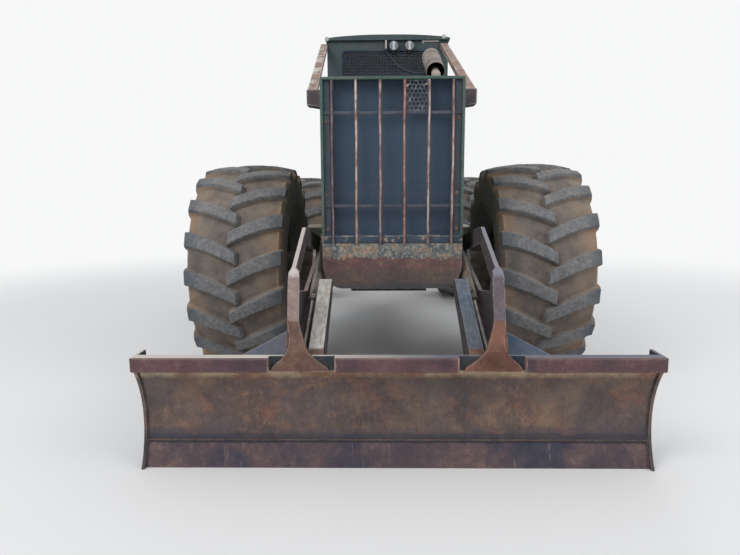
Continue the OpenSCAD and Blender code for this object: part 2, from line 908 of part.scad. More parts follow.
module moldboard_section() {
    low = edge_h + fit;
    high = blade_h - rail_h;
    intersection() {
        difference() {
            curve_disc(curve_r + blade_t);
            curve_disc(curve_r);
        }
        translate([blade_y, low])
            square([300, high - low]);
    }
    translate([blade_y + rail_back, high - 3])
        square([rail_d - rail_back, rail_h + 3]);
}

module moldboard() {
    half = blade_w / 2;
    low = blade_h - rail_h;
    color([0.36, 0.24, 0.19]) {
        across(-half, blade_w)
            moldboard_section();
        // Rail along the top, with gaps for the arms' feet
        for (span = [[-half, -rail_gap[1]], [-rail_gap[0], rail_gap[0]], [rail_gap[1], half]])
            across(span[0], span[1] - span[0])
                polygon([[blade_y, low + 8], [blade_y + 8, low], [blade_y + rail_back + 1, low],
                    [blade_y + rail_back + 1, blade_h], [blade_y + 8, blade_h],
                    [blade_y, blade_h - 8]]);
        // End plates that follow the curve down to the ground
        both_sides()
            across(half - end_plate_t, end_plate_t)
                difference() {
                    polygon([[blade_y, 60], [blade_y + 40, 0], [blade_y + 150, 0],
                        [blade_y + 215, 200], [blade_y + 215, 420], [blade_y + 185, blade_h],
                        [blade_y, blade_h]]);
                    curve_disc(curve_r - end_plate_proud);
                }
        // Ribs on the back
        for (x = [-1250, -1000, -220, 220, 1000, 1250])
            across(x - rib_t / 2, rib_t)
                difference() {
                    polygon([[blade_y + rail_d - 5, blade_h - 10], [blade_y + 150, 520],
                        [blade_y + 235, 420], [blade_y + 235, 250], [blade_y + 150, 180],
                        [blade_y + rail_d - 5, 200]]);
                    curve_disc(curve_r + blade_t / 2);
                    translate([blade_y - 1, 0])
                        square([rail_d - 4, blade_h]);
                }
    }
}

// Straight edge that carries the curve on down to the ground between the end plates
module cutting_edge() {
    top = face_y(edge_h);
    lean = 48;
    color([0.20, 0.19, 0.21])
        across(-blade_w / 2 + end_plate_t + fit, blade_w - 2 * (end_plate_t + fit))
            polygon([[top - lean, 0], [top - lean + edge_t + 1, 0], [top + edge_t + 1, edge_h],
                [top, edge_h]]);
}

// Outline of an arm plate, from the blade's back to the pivot
module arm_plate_section() {
    y0 = blade_y;
    difference() {
        polygon([[y0 + 47, blade_h + 30], [y0 + 281, 1122], [y0 + 830, arm_top_z - 8],
            [y0 + 845, arm_top_z], [y0 + 890, arm_top_z - 2], [arm_pivot_y - 20, arm_pivot_z + 245],
            [arm_pivot_y + 60, arm_pivot_z + 215], [arm_pivot_y + 110, arm_pivot_z + 150],
            [arm_pivot_y + 110, arm_pivot_z - 60], [arm_pivot_y, arm_pivot_z - 120],
            [y0 + 700, 760], [y0 + 400, 400], [y0 + 240, 250], [y0 + 100, 250], [y0 + 50, 600]]);
        // Opening under the top chord
        polygon([[y0 + 460, 1060], [y0 + 860, 1245], [y0 + 900, 1245], [y0 + 1420, 1150],
            [y0 + 1440, 1120], [y0 + 1380, 1040], [y0 + 860, 920], [y0 + 480, 980]]);
    }
}

// Front of the flange with its flared foot, on the right arm: [height, inner x, outer x]
flange_rows = [[583, 372, 703], [603, 375, 700], [623, 386, 697], [640, 415, 684],
    [672, 456, 645], [706, 489, 618], [740, 508, 603], [775, 522, 600], [823, 541, 607],
    [867, 553, 616], [1000, 557, 624], [1098, 562, 628], [1133, 567, 626], [1160, 592, 608]];

module flange_outline() {
    polygon(concat([for (row = flange_rows) [row[2], row[0]]],
        [for (i = [len(flange_rows) - 1:-1:0]) [flange_rows[i][1], flange_rows[i][0]]]));
}

// Side view of the flange
module flange_band() {
    y0 = blade_y;
    polygon([[y0 + 22, blade_h - rail_h], [y0 + 22, 720], [y0 + 266, 1160],
        [y0 + 294, 1160], [y0 + 283, 1124], [y0 + 49, 716], [y0 + 49, blade_h - rail_h]]);
}

// What the moldboard fills, seen from the side
module blade_fill() {
    high = blade_h - rail_h;
    intersection() {
        curve_disc(curve_r + blade_t + fit);
        translate([blade_y - 1, 0])
            square([300, high]);
    }
    translate([blade_y + rail_back - fit, high - 3])
        square([rail_d - rail_back + 2 * fit, rail_h + 3 + fit]);
}

module blade_arms() {
    y0 = blade_y;
    strut_x = 420;
    strut_w = 85;
    color([0.42, 0.33, 0.30])
        both_sides()
            difference() {
                union() {
                    across(arm_x, arm_t)
                        arm_plate_section();
                    intersection() {
                        translate([0, y0 + 400, 0])
                            rotate([90, 0, 0])
                                linear_extrude(500)
                                    flange_outline();
                        across(300, 450)
                            flange_band();
                    }
                    // Box strut beside the lift cylinder
                    across(strut_x, strut_w)
                        polygon([[y0 + 60, 560], [y0 + 40, 640], [y0 + 800, 1010], [y0 + 840, 1000],
                            [y0 + 840, 900], [y0 + 560, 745], [y0 + 200, 500]]);
                    // Web between the strut and the plate, in front of the cylinder's eye
                    translate([strut_x + strut_w - 1, y0 + 120, 480])
                        cube([arm_x - strut_x - strut_w + 2, 20, 160]);
                    // Brace plate to the blade's back
                    intersection() {
                        translate([0, y0 + 500, 0])
                            rotate([90, 0, 0])
                                linear_extrude(500)
                                    polygon([[arm_x + arm_t - 1, 560], [905, 560], [905, 650],
                                        [arm_x + arm_t - 1, 780]]);
                        across(arm_x, 320)
                            polygon([[y0 + 80, 560], [y0 + 320, 790], [y0 + 336, 775],
                                [y0 + 100, 548]]);
                    }
                }
                translate([arm_x - 1, arm_pivot_y, arm_pivot_z])
                    rotate([0, 90, 0])
                        cylinder(d = pin_d + 2 * fit, h = arm_t + 2);
                across(0, blade_w / 2)
                    blade_fill();
                // Room for the lift cylinder's eye
                translate([strut_x + strut_w - 1, blade_pin_y - 70, blade_pin_z - 70])
                    cube([arm_x - strut_x - strut_w + 1, 140, 140]);
            }
    // Bosses on both sides of the lift cylinder's eye
    color([0.42, 0.33, 0.30])
        both_sides()
            for (span = [[strut_x + strut_w - 1, blade_cyl_x - 33], [blade_cyl_x + 33, arm_x + 1]])
                translate([span[0], blade_pin_y, blade_pin_z])
                    rotate([0, 90, 0])
                        cylinder(d = 100, h = span[1] - span[0]);
}

// Lift cylinder pins, on the right side
lift_base = [blade_cyl_x, lift_pin_y, lift_pin_z];
blade_eye = [blade_cyl_x, blade_pin_y, blade_pin_z];

module blade_cylinders() {
    color([0.38, 0.36, 0.33])
        both_sides()
            barrel_x(lift_base, blade_eye - lift_base, 980, blade_cyl_d,
                blade_rod_d + 2 * fit, 90, 60, lift_pin_d);
}

module blade_rods() {
    color([0.62, 0.60, 0.57])
        both_sides()
            rod_x(lift_base, blade_eye, 560, blade_rod_d, 86, 60);
}

// Rear frame

winch_y = rear_y - 330;
winch_z = rear_top_z + 200;
winch_w = 560;

module rear_chassis() {
    start = hinge_y + 330;
    back = rear_y + 420;
    color([0.20, 0.25, 0.18]) {
        // Rails under the arch
        both_sides()
            across(rail_half - rail_t, rail_t)
                polygon([[start, frame_low_z + 40], [rear_y - 400, frame_low_z + 40],
                    [rear_y - 240, axle_pad_z], [rear_y + 240, axle_pad_z],
                    [rear_y + 300, 760], [back, 760], [back, rear_top_z],
                    [start, rear_top_z]]);
        translate([-rail_half, start, frame_low_z + 40])
            cube([rail_gauge, 30, rear_top_z - frame_low_z - 40]);
        translate([-rail_half, start, rear_top_z - 25])
            cube([rail_gauge, back - start, 25]);
        translate([-rail_half, back - 30, 760])
            cube([rail_gauge, 30, rear_top_z - 760]);
        // Articulation knuckle between the front frame's ears
        difference() {
            translate([0, 0, frame_low_z + hinge_ear_t + 10])
                linear_extrude(hinge_top_z - frame_low_z - hinge_ear_t - 20)
                    union() {
                        translate([0, hinge_y])
                            circle(r = 140);
                        translate([-140, hinge_y])
                            square([280, start - hinge_y + 1]);
                    }
            translate([0, hinge_y, frame_low_z])
                cylinder(d = hinge_pin_d + 2 * fit, h = hinge_top_z);
        }
        // Steering cylinder ears
        both_sides()
            for (s = [-1, 1])
                translate([0, 0, steer_eye[2] + s * (steer_gap / 2 + 12.5) - 12.5])
                    linear_extrude(25)
                        polygon([[139, steer_eye[1] - 55], [steer_eye[0] + 60, steer_eye[1] - 55],
                            [steer_eye[0] + 60, start + 1], [139, start + 1]]);
        // Winch ahead of the arch: side plates, drum and its flanges
        both_sides() {
            across(winch_w / 2 - 25, 25)
                polygon([[winch_y - 190, rear_top_z - 1], [winch_y + 190, rear_top_z - 1],
                    [winch_y + 110, winch_z + 90], [winch_y - 110, winch_z + 90]]);
            translate([winch_w / 2 - 60, winch_y, winch_z])
                rotate([0, 90, 0])
                    cylinder(d = 330, h = 20);
        }
        bar_x(winch_y, winch_z, 190, winch_w);
        // Arch pivot posts
        both_sides() {
            across(rail_half - 20, 60)
                polygon([[arch_y - 200, rear_top_z - 1], [arch_y + 200, rear_top_z - 1],
                    [arch_y + 70, arch_pivot_z + 60], [arch_y - 70, arch_pivot_z + 60]]);
            translate([rail_half + 39, arch_y, arch_pivot_z])
                rotate([0, 90, 0])
                    cylinder(d = pin_d, h = 112);
        }
        // Arch cylinder pins
        both_sides() {
            translate([rail_half - 1, arch_base[1] - 60, rear_top_z - 120])
                cube([arch_gauge / 2 - 62 - rail_half + 1, 120, 120 + 60]);
            translate([arch_gauge / 2 - 63, arch_base[1], arch_base[2]])
                rotate([0, 90, 0])
                    cylinder(d = cylinder_pin_d, h = 109);
        }
        // Tow plate with its pin hole
        difference() {
            translate([-150, back - 1, 780])
                cube([300, 151, 40]);
            translate([0, back + 90, 779])
                cylinder(d = 56, h = 42);
        }
    }
}

arch_tube_d = 120;
low_tube_z = 1770;

module arch() {
    post = arch_gauge / 2;
    color([0.16, 0.27, 0.18])
        difference() {
            union() {
                both_sides()
                    across(post - 35, 70)
                        polygon([[arch_y - 90, arch_pivot_z - 60], [arch_y + 90, arch_pivot_z - 60],
                            [arch_y + 140, 2000], [boom_y + 90, boom_pivot_z + 60],
                            [boom_y - 90, boom_pivot_z + 60], [arch_y - 60, 2000]]);
                // Cross tubes, and bosses round the pivots
                bar_x(boom_y, boom_pivot_z - 200, arch_tube_d, 2 * post);
                bar_x(arch_y + 30, low_tube_z, arch_tube_d, 2 * post);
                both_sides() {
                    translate([post - 35, arch_y, arch_pivot_z])
                        rotate([0, 90, 0])
                            cylinder(d = 190, h = 82);
                    // Gussets in the posts' upper corners
                    translate([0, boom_y + 10, 0])
                        rotate([90, 0, 0])
                            linear_extrude(20)
                                polygon([[post - 34, boom_pivot_z - 420], [post - 34, boom_pivot_z - 190],
                                    [post - 250, boom_pivot_z - 190]]);
                }
                both_sides()
                    across(boom_w / 2 + 6, 40)
                        polygon([[boom_y - 60, boom_pivot_z - 141],
                            [boom_y + 60, boom_pivot_z - 141],
                            [boom_y + 70, boom_pivot_z + 80], [boom_y - 70, boom_pivot_z + 80]]);
                bar_x(boom_y, boom_pivot_z, pin_d, boom_w + 80);
                // Ears for the arch cylinders' eyes
                both_sides()
                    for (x = [post - 55, post + 35])
                        across(x, 20)
                            polygon([[arch_eye[1] - 55, arch_eye[2] - 40],
                                [arch_eye[1] + 100, arch_eye[2] - 110],
                                [arch_eye[1] + 150, arch_eye[2] - 110],
                                [arch_eye[1] + 150, arch_eye[2] + 110],
                                [arch_eye[1] + 100, arch_eye[2] + 110],
                                [arch_eye[1] - 55, arch_eye[2] + 40]]);
                // Ears and pin for the boom cylinder
                both_sides()
                    across(35, 20)
                        union() {
                            translate([boom_base[1], boom_base[2]])
                                circle(r = 45);
                            polygon([[arch_y + 40, low_tube_z - 50], [boom_base[1], boom_base[2] - 45],
                                [boom_base[1], boom_base[2] + 45], [arch_y + 40, low_tube_z + 50]]);
                        }
                bar_x(boom_base[1], boom_base[2], cylinder_pin_d, 110);
            }
            both_sides()
                translate([post - 40, arch_y, arch_pivot_z])
                    rotate([0, 90, 0])
                        cylinder(d = pin_d + 2 * fit, h = 90);
        }
}

module arch_cylinders() {
    color([0.36, 0.36, 0.34])
        both_sides()
            barrel_x(arch_base, arch_eye - arch_base, 950, 108, 56 + 2 * fit, 110, 60, cylinder_pin_d);
}

module arch_rods() {
    color([0.62, 0.60, 0.57])
        both_sides()
            rod_x(arch_base, arch_eye, 300, 56, 100, 60);
}

module boom() {
    tip = grapple_y;
    color([0.16, 0.27, 0.18])
        difference() {
            across(-boom_w / 2, boom_w)
                union() {
                    translate([boom_y, boom_pivot_z])
                        circle(r = 90);
                    translate([tip, grapple_pin_z])
                        circle(r = 70);
                    polygon([[boom_y - 30, boom_pivot_z - 80], [boom_y - 20, boom_pivot_z + 85],
                        [boom_y + 500, boom_pivot_z + 120], [tip + 20, grapple_pin_z + 66],
                        [tip, grapple_pin_z - 70], [boom_y + 500, boom_pivot_z - 160]]);
                }
            bar_x(boom_y, boom_pivot_z, pin_d + 2 * fit, boom_w + 2);
            translate([-60, tip - 110, grapple_pin_z - 100])
                cube([120, 300, 230]);
        }
    color([0.16, 0.27, 0.18]) {
        bar_x(tip, grapple_pin_z, 60, 122);
        // Ears for the boom cylinder's eye
        both_sides()
            across(35, 20)
                polygon([[boom_eye[1] - 50, boom_eye[2] - 50], [boom_eye[1] + 50, boom_eye[2] - 50],
                    [boom_eye[1] + 90, boom_eye[2] + 90], [boom_eye[1] - 90, boom_eye[2] + 90]]);
    }
}

// A cylinder barrel along the line from a base pin, with its eye across X
module barrel_x(base, dir, len, d, bore, eye_d, eye_w, pin) {
    unit = dir / norm(dir);
    difference() {
        union() {
            rod_between(base + unit * (eye_d / 2), base + unit * len, d);
            rod_between(base, base + unit * (eye_d / 2 + 1), 0.6 * eye_w);
            translate(base - [eye_w / 2, 0, 0])
                rotate([0, 90, 0])
                    cylinder(d = eye_d, h = eye_w);
        }
        translate(base - [eye_w, 0, 0])
            rotate([0, 90, 0])
                cylinder(d = pin + 2 * fit, h = 2 * eye_w);
        rod_between(base + unit * (eye_d / 2 + 60), base + unit * (len + 1), bore);
    }
}

// A cylinder rod that ends in an eye across X
module rod_x(base, eye, start, d, eye_d, eye_w) {
    unit = (eye - base) / norm(eye - base);
    rod_between(base + unit * start, eye, d);
    translate(eye - [eye_w / 2, 0, 0])
        rotate([0, 90, 0])
            cylinder(d = eye_d, h = eye_w);
}

module boom_cylinder() {
    color([0.36, 0.36, 0.34])
        barrel_x(boom_base, boom_eye - boom_base, 560, 100, 55 + 2 * fit, 96, 60, cylinder_pin_d);
}

module boom_rod() {
    color([0.62, 0.60, 0.57])
        rod_x(boom_base, boom_eye, 300, 55, 90, 60);
}

// Grapple: link, rotator, head and tongs, from the boom's tip down
link_h = 160;
swivel_z = grapple_pin_z - link_h;
rotator_top_z = swivel_z - 80;
rotator_low_z = swivel_z - 200;
head_top_z = rotator_low_z - fit;
head_plate_z = head_top_z - 25;
tong_pivot_z = head_plate_z - 270;
tong_x = tong_gauge / 2;
tong_arc_r = mouth_r + tong_depth / 2;
mouth_z = tong_pivot_z - sqrt(tong_arc_r * tong_arc_r - tong_x * tong_x);
pivot_angle = acos(tong_x / tong_arc_r);
lever_x = tong_x + 89;
lever_z = tong_pivot_z + 168;

module grapple_link() {
    color([0.35, 0.33, 0.30])
        difference() {
            union() {
                bar_x(grapple_y, grapple_pin_z, 100, 100);
                translate([-50, grapple_y - 45, swivel_z])
                    cube([100, 90, link_h]);
                translate([0, grapple_y + 45, swivel_z])
                    rotate([90, 0, 0])
                        cylinder(d = 100, h = 90);
            }
            bar_x(grapple_y, grapple_pin_z, 60 + 2 * fit, 102);
            translate([0, grapple_y + 46, swivel_z])
                rotate([90, 0, 0])
                    cylinder(d = 50 + 2 * fit, h = 92);
        }
}

module rotator() {
    color([0.35, 0.33, 0.30]) {
        translate([0, grapple_y, rotator_low_z])
            cylinder(d = 280, h = rotator_top_z - rotator_low_z);
        for (s = [-1, 1])
            translate([0, grapple_y + s * 65 + 10, 0])
                rotate([90, 0, 0])
                    linear_extrude(20)
                        union() {
                            translate([0, swivel_z])
                                circle(d = 100);
                            translate([-60, rotator_top_z - 1])
                                square([120, swivel_z - rotator_top_z + 1]);
                        }
        translate([0, grapple_y + 75, swivel_z])
            rotate([90, 0, 0])
                cylinder(d = 50, h = 150);
    }
}

module grapple_head() {
    half = head_len / 2;
    color([0.16, 0.27, 0.18])
        translate([0, grapple_y, 0]) {
            translate([0, 0, head_plate_z - 1])
                cylinder(d = 240, h = 26);
            translate([-200, -half, head_plate_z - 25])
                cube([400, head_len, 25]);
            for (y = [-half, half - 20])
                translate([0, y + 20, 0])
                    rotate([90, 0, 0])
                        linear_extrude(20)
                            polygon([[-200, head_plate_z - 1], [-tong_x - 70, tong_pivot_z + 60],
                                [-tong_x - 70, tong_pivot_z - 60], [-tong_x + 60, tong_pivot_z - 60],
                                [-tong_x + 110, tong_pivot_z + 40], [tong_x - 110, tong_pivot_z + 40],
                                [tong_x - 60, tong_pivot_z - 60], [tong_x + 70, tong_pivot_z - 60],
                                [tong_x + 70, tong_pivot_z + 60], [200, head_plate_z - 1]]);
            for (s = [-1, 1])
                translate([s * tong_x, half - 1, tong_pivot_z])
                    rotate([90, 0, 0])
                        cylinder(d = tong_pin_d, h = head_len - 2);
        }
}

// One arm of a tong: a tapering arc from its pivot down to its point
module tong_arm_section() {
    steps = 16;
    low = -88;
    polygon(concat(
        [for (i = [0:steps]) let (a = pivot_angle + (low - pivot_angle) * i / steps)
            [cos(a), sin(a)] * (mouth_r + tong_depth * (1 - 0.6 * i / steps))],
        [for (i = [steps:-1:0]) let (a = pivot_angle + (low - pivot_angle) * i / steps)
            [cos(a), sin(a)] * mouth_r]));
}

// A tong with two arms, 2 * y apart, its boss, lever and cross tube
module tong(side, y, arm) {
    a = pivot_angle - 62;
    color([0.34, 0.31, 0.28])
        mirror([side < 0 ? 1 : 0, 0, 0])
            difference() {
                union() {
                    for (s = [-1, 1])
                        translate([0, grapple_y + s * y + arm / 2, 0])
                            rotate([90, 0, 0])
                                linear_extrude(arm)
                                    union() {
                                        translate([0, mouth_z])
                                            tong_arm_section();
                                        translate([tong_x, tong_pivot_z])
                                            circle(d = 130);
                                        polygon([[tong_x - 60, tong_pivot_z + 20],
                                            [tong_x + 60, tong_pivot_z - 20],
                                            [lever_x + 45, lever_z], [lever_x - 45, lever_z]]);
                                        translate([lever_x, lever_z])
                                            circle(d = 90);
                                    }
                    translate([tong_x, grapple_y + y, tong_pivot_z])
                        rotate([90, 0, 0])
                            cylinder(d = 100, h = 2 * y);
                    translate([cos(a) * (mouth_r + 40), grapple_y + y, mouth_z + sin(a) * (mouth_r + 40)])
                        rotate([90, 0, 0])
                            cylinder(d = 70, h = 2 * y);
                }
                translate([tong_x, grapple_y + half_head, tong_pivot_z])
                    rotate([90, 0, 0])
                        cylinder(d = tong_pin_d + 2 * fit, h = 2 * half_head);
            }
    if (side < 0)
        color([0.34, 0.31, 0.28])
            translate([-lever_x, grapple_y + y, lever_z])
                rotate([90, 0, 0])
                    cylinder(d = lever_pin_d, h = 2 * y);
}

module tong_left() {
    tong(-1, 100, 35);
}

module tong_right() {
    tong(1, 145, 35);
}

// Tong cylinder, pinned to the left tong's lever
tong_barrel_len = 415;
tong_rod_len = 395;
lever_pin_d = 40;

module tong_barrel() {
    color([0.36, 0.36, 0.34])
        translate([-lever_x, grapple_y, lever_z])
            difference() {
                union() {
                    rotate([0, 90, 0])
                        translate([0, 0, 30])
                            cylinder(d = 80, h = tong_barrel_len - 30);
                    translate([0, 45, 0])
                        rotate([90, 0, 0])
                            cylinder(d = 84, h = 90);
                }
                rotate([0, 90, 0])
                    translate([0, 0, 60])
                        cylinder(d = 50 + 2 * fit, h = tong_barrel_len);
                translate([0, 50, 0])
                    rotate([90, 0, 0])
                        cylinder(d = lever_pin_d + 2 * fit, h = 100);
            }
}

module tong_rod() {
    color([0.62, 0.60, 0.57])
        translate([lever_x, grapple_y, lever_z]) {
            translate([-tong_rod_len, 0, 0])
                rotate([0, 90, 0])
                    cylinder(d = 50, h = tong_rod_len);
            translate([0, 120, 0])
                rotate([90, 0, 0])
                    cylinder(d = 80, h = 240);
        }
}

// Steering cylinders
module steer_barrel(side) {
    unit = (steer_eye - steer_base) / norm(steer_eye - steer_base);
    color([0.36, 0.36, 0.34])
        mirror([side < 0 ? 1 : 0, 0, 0])
            difference() {
                union() {
                    rod_between(steer_base + unit * 45, steer_base + unit * 880, 74);
                    translate(steer_base - [0, 0, 40])
                        cylinder(d = 100, h = 80);
                }
                translate(steer_base - [0, 0, 50])
                    cylinder(d = steer_pin_d + 2 * fit, h = 100);
                rod_between(steer_base + unit * 250, steer_base + unit * 890, 50 + 2 * fit);
            }
}

module steer_rod(side) {
    unit = (steer_eye - steer_base) / norm(steer_eye - steer_base);
    color([0.62, 0.60, 0.57])
        mirror([side < 0 ? 1 : 0, 0, 0]) {
            rod_between(steer_base + unit * 520, steer_eye, 50);
            translate(steer_eye - [0, 0, 30])
                cylinder(d = 90, h = 60);
        }
}

front_chassis();
engine_block();
front_axle();
nose();
hood();
grille();
radiator();
cab_shell();
cab_roof();
cab_glass();
seat();
controls();
limb_risers();
muffler();
work_lamps();
side_steps();
door(-1);  // door_left
door(1);  // door_right
blade_arms();
moldboard();
cutting_edge();
blade_cylinders();
blade_rods();
tyre(-wheel_x, front_y);  // tyre_front_left
rim(-wheel_x, front_y);  // rim_front_left
tyre(wheel_x, front_y);  // tyre_front_right
rim(wheel_x, front_y);  // rim_front_right
rear_chassis();
rear_axle();
tyre(-wheel_x, rear_y);  // tyre_rear_left
rim(-wheel_x, rear_y);  // rim_rear_left
tyre(wheel_x, rear_y);  // tyre_rear_right
rim(wheel_x, rear_y);  // rim_rear_right
steer_barrel(-1);  // steer_barrel_left
steer_rod(-1);  // steer_rod_left
steer_barrel(1);  // steer_barrel_right
steer_rod(1);  // steer_rod_right
arch();
arch_cylinders();
arch_rods();
boom();
boom_cylinder();
boom_rod();
grapple_link();
rotator();
grapple_head();
tong_left();
tong_right();
tong_barrel();
tong_rod();
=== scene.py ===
"""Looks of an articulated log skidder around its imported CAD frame. Metres, -Y is ahead, +Z is up."""

import math
import random
from itertools import product

import bmesh
import bpy
import numpy as np
from mathutils import Matrix, Vector


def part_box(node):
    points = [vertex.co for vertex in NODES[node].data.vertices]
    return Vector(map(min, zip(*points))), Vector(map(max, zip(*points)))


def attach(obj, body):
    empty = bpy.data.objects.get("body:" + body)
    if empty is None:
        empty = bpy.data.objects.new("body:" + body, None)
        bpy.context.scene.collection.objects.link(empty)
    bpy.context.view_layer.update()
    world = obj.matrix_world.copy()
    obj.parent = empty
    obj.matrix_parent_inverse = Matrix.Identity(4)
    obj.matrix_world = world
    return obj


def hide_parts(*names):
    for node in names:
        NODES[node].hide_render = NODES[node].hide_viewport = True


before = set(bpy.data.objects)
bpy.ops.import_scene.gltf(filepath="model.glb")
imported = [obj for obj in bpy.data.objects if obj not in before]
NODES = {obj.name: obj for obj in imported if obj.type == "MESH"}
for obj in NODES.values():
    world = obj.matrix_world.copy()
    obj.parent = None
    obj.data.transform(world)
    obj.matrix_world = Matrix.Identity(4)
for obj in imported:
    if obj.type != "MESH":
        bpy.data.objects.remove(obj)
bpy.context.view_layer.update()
random.seed(7)


# Places that several pieces use, from the frame

TYRE_LOW, TYRE_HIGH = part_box("tyre_front_right")
HUB_Z = (TYRE_LOW.z + TYRE_HIGH.z) / 2
FRONT_Y = (TYRE_LOW.y + TYRE_HIGH.y) / 2
WHEEL_X = (TYRE_LOW.x + TYRE_HIGH.x) / 2
TYRE_R = (TYRE_HIGH.z - TYRE_LOW.z) / 2
TYRE_HALF = (TYRE_HIGH.x - TYRE_LOW.x) / 2
REAR_Y = sum(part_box("tyre_rear_right")[i].y for i in (0, 1)) / 2
GRILLE_LOW, GRILLE_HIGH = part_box("grille")
HOOD_LOW, HOOD_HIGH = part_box("hood")
CAB_LOW, ROOF_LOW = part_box("cab_shell")[0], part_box("cab_roof")[0]
CAB_HALF = 0.65
BLADE_LOW, BLADE_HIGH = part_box("moldboard")
# Where the rail along the blade's top begins
RAIL_Z = 0.600
BARS = [(i - 2.5) * 0.172 for i in range(6)]
# Each bar's tint (red, green, blue) and how much of its front is rubbed pale
BAR_TONES = [(0.52, 0.56, 0.80, 0.15), (1.05, 1.00, 0.88, 1.00), (0.85, 0.76, 0.88, 0.50),
             (0.95, 0.66, 0.60, 0.40), (0.95, 0.97, 1.00, 0.95), (0.90, 0.84, 0.86, 0.65)]
LAMPS = [(0.066, 3.153), (0.235, 3.153)]
NOSE_JOINT_Z = 1.234
BRACKET_TOP_Z = 2.366
# The muffler's drum: the middle of each end, and the radius
DRUM_LOW, DRUM_HIGH = Vector((0.385, -1.7985, 2.605)), Vector((0.378, -1.3985, 2.815))
DRUM_R = 0.079
AHEAD, UP = (0, -1, 0), (0, 0, 1)

WHEELS = {
    "front_left": (-WHEEL_X, FRONT_Y),
    "front_right": (WHEEL_X, FRONT_Y),
    "rear_left": (-WHEEL_X, REAR_Y),
    "rear_right": (WHEEL_X, REAR_Y),
}


# Shader helpers: they add nodes to the tree that start_group or start_material made last


class Making:
    tree = None
    material = None


def plug(socket, value):
    """Links an input socket, or sets it. A colour is given as red, green and blue."""
    if isinstance(value, bpy.types.NodeSocket):
        Making.tree.links.new(value, socket)
    elif socket.type == "RGBA":
        socket.default_value = (*value, 1.0)
    else:
        socket.default_value = value


def add(kind, sockets=None, **settings):
    """A shader node, its input sockets linked or set from a dictionary."""
    made = Making.tree.nodes.new("ShaderNode" + kind)
    for key, value in settings.items():
        setattr(made, key, value)
    for key, value in (sockets or {}).items():
        plug(made.inputs[key], value)
    return made


def use_group(group, sockets):
    return add("Group", sockets, node_tree=group).outputs


def start_group(name, **inputs):
    """A node group and its inputs: a number, a colour, or a vector where the value is None."""
    tree = Making.tree = bpy.data.node_groups.new(name, "ShaderNodeTree")
    for label, value in inputs.items():
        kind = "Vector" if value is None else "Color" if isinstance(value, tuple) else "Float"
        socket = tree.interface.new_socket(label, in_out="INPUT", socket_type="NodeSocket" + kind)
        if value is not None:
            socket.default_value = (*value, 1.0) if kind == "Color" else value
    return tree.nodes.new("NodeGroupInput").outputs


def finish_group(**outputs):
    """Gives the group its outputs and returns it."""
    tree = Making.tree
    for label, value in outputs.items():
        kind = "Color" if value.type == "RGBA" else "Float"
        tree.interface.new_socket(label, in_out="OUTPUT", socket_type="NodeSocket" + kind)
    out = tree.nodes.new("NodeGroupOutput")
    for label, value in outputs.items():
        plug(out.inputs[label], value)
    return tree


def mix(factor, low, high, blend="MIX"):
    """Mixes two colours."""
    return add("Mix", {0: factor, 6: low, 7: high}, data_type="RGBA", blend_type=blend).outputs[2]


def tinted(base, tint):
    """A colour multiplied by another."""
    return mix(1.0, base, tint, "MULTIPLY")


def between(factor, low, high):
    """Mixes two numbers."""
    return add("Mix", {0: factor, 2: low, 3: high}).outputs[0]


def noise(vector, scale, detail=6.0, rough=0.6, distort=0.0):
    return add("TexNoise", {"Vector": vector, "Scale": scale, "Detail": detail, "Roughness": rough,
                            "Distortion": distort}).outputs[0]


def span(value, low, high, to_low=0.0, to_high=1.0):
    """Maps value from low..high to to_low..to_high, clamped."""
    return add("MapRange", {0: value, 1: low, 2: high, 3: to_low, 4: to_high}).outputs[0]


def maths(kind, first, second=0.0):
    return add("Math", {0: first, 1: second}, operation=kind).outputs[0]


def times(first, *others):
    for other in others:
        first = maths("MULTIPLY", first, other)
    return first


def plus(first, second):
    return maths("ADD", first, second)


def minus(first, second):
    return maths("SUBTRACT", first, second)


def larger(first, second):
    return maths("MAXIMUM", first, second)


def vectors(kind, sockets, output=0):
    return add("VectorMath", sockets, operation=kind).outputs[output]


def stretch(vector, scale):
    return add("Mapping", {"Vector": vector, "Scale": scale}).outputs[0]


def split(vector):
    """The X, Y and Z of a vector."""
    return add("SeparateXYZ", {0: vector}).outputs


def surface_facing():
    """The X, Y and Z of the way that the solid's surface faces."""
    return split(add("TexCoord").outputs["Normal"])


# Shared effects


def edge_wear_group():
    """Mask of convex and concave edges, broken up by noise."""
    given = start_group("Edge wear", Place=None, Radius=0.012, Grain=18.0)
    round_off = add("Bevel", {"Radius": given["Radius"]}, samples=6).outputs[0]
    plain = add("NewGeometry").outputs["Normal"]
    edge = span(vectors("DOT_PRODUCT", {0: round_off, 1: plain}, "Value"), 0.995, 0.80)
    grain = noise(given["Place"], given["Grain"], 5.0, 0.65)
    return finish_group(Mask=times(edge, span(grain, 0.38, 0.60)))


def rust_group():
    """Scale rust: dark and bright patches, fine speckle and a grain to bump with."""
    given = start_group("Scale rust", Place=None, Scale=1.0, Dark=(0.06, 0.04, 0.035),
                        Middle=(0.17, 0.09, 0.055), Bright=(0.33, 0.17, 0.08))
    place = vectors("SCALE", {0: given["Place"], "Scale": given["Scale"]})
    patches = noise(place, 2.6, 9.0, 0.66, 0.4)
    small = noise(place, 17.0, 8.0, 0.7)
    speckle = noise(place, 95.0, 3.0, 0.6)
    base = mix(span(patches, 0.36, 0.60), given["Dark"], given["Middle"])
    base = mix(times(span(small, 0.50, 0.70), span(patches, 0.42, 0.62)), base, given["Bright"])
    shade = mix(span(speckle, 0.30, 0.72), (0.72, 0.70, 0.70), (1.22, 1.18, 1.15))
    return finish_group(Color=tinted(base, shade), Roughness=span(small, 0.3, 0.7, 0.92, 0.66),
                        Height=plus(times(small, 0.65), times(speckle, 0.35)))


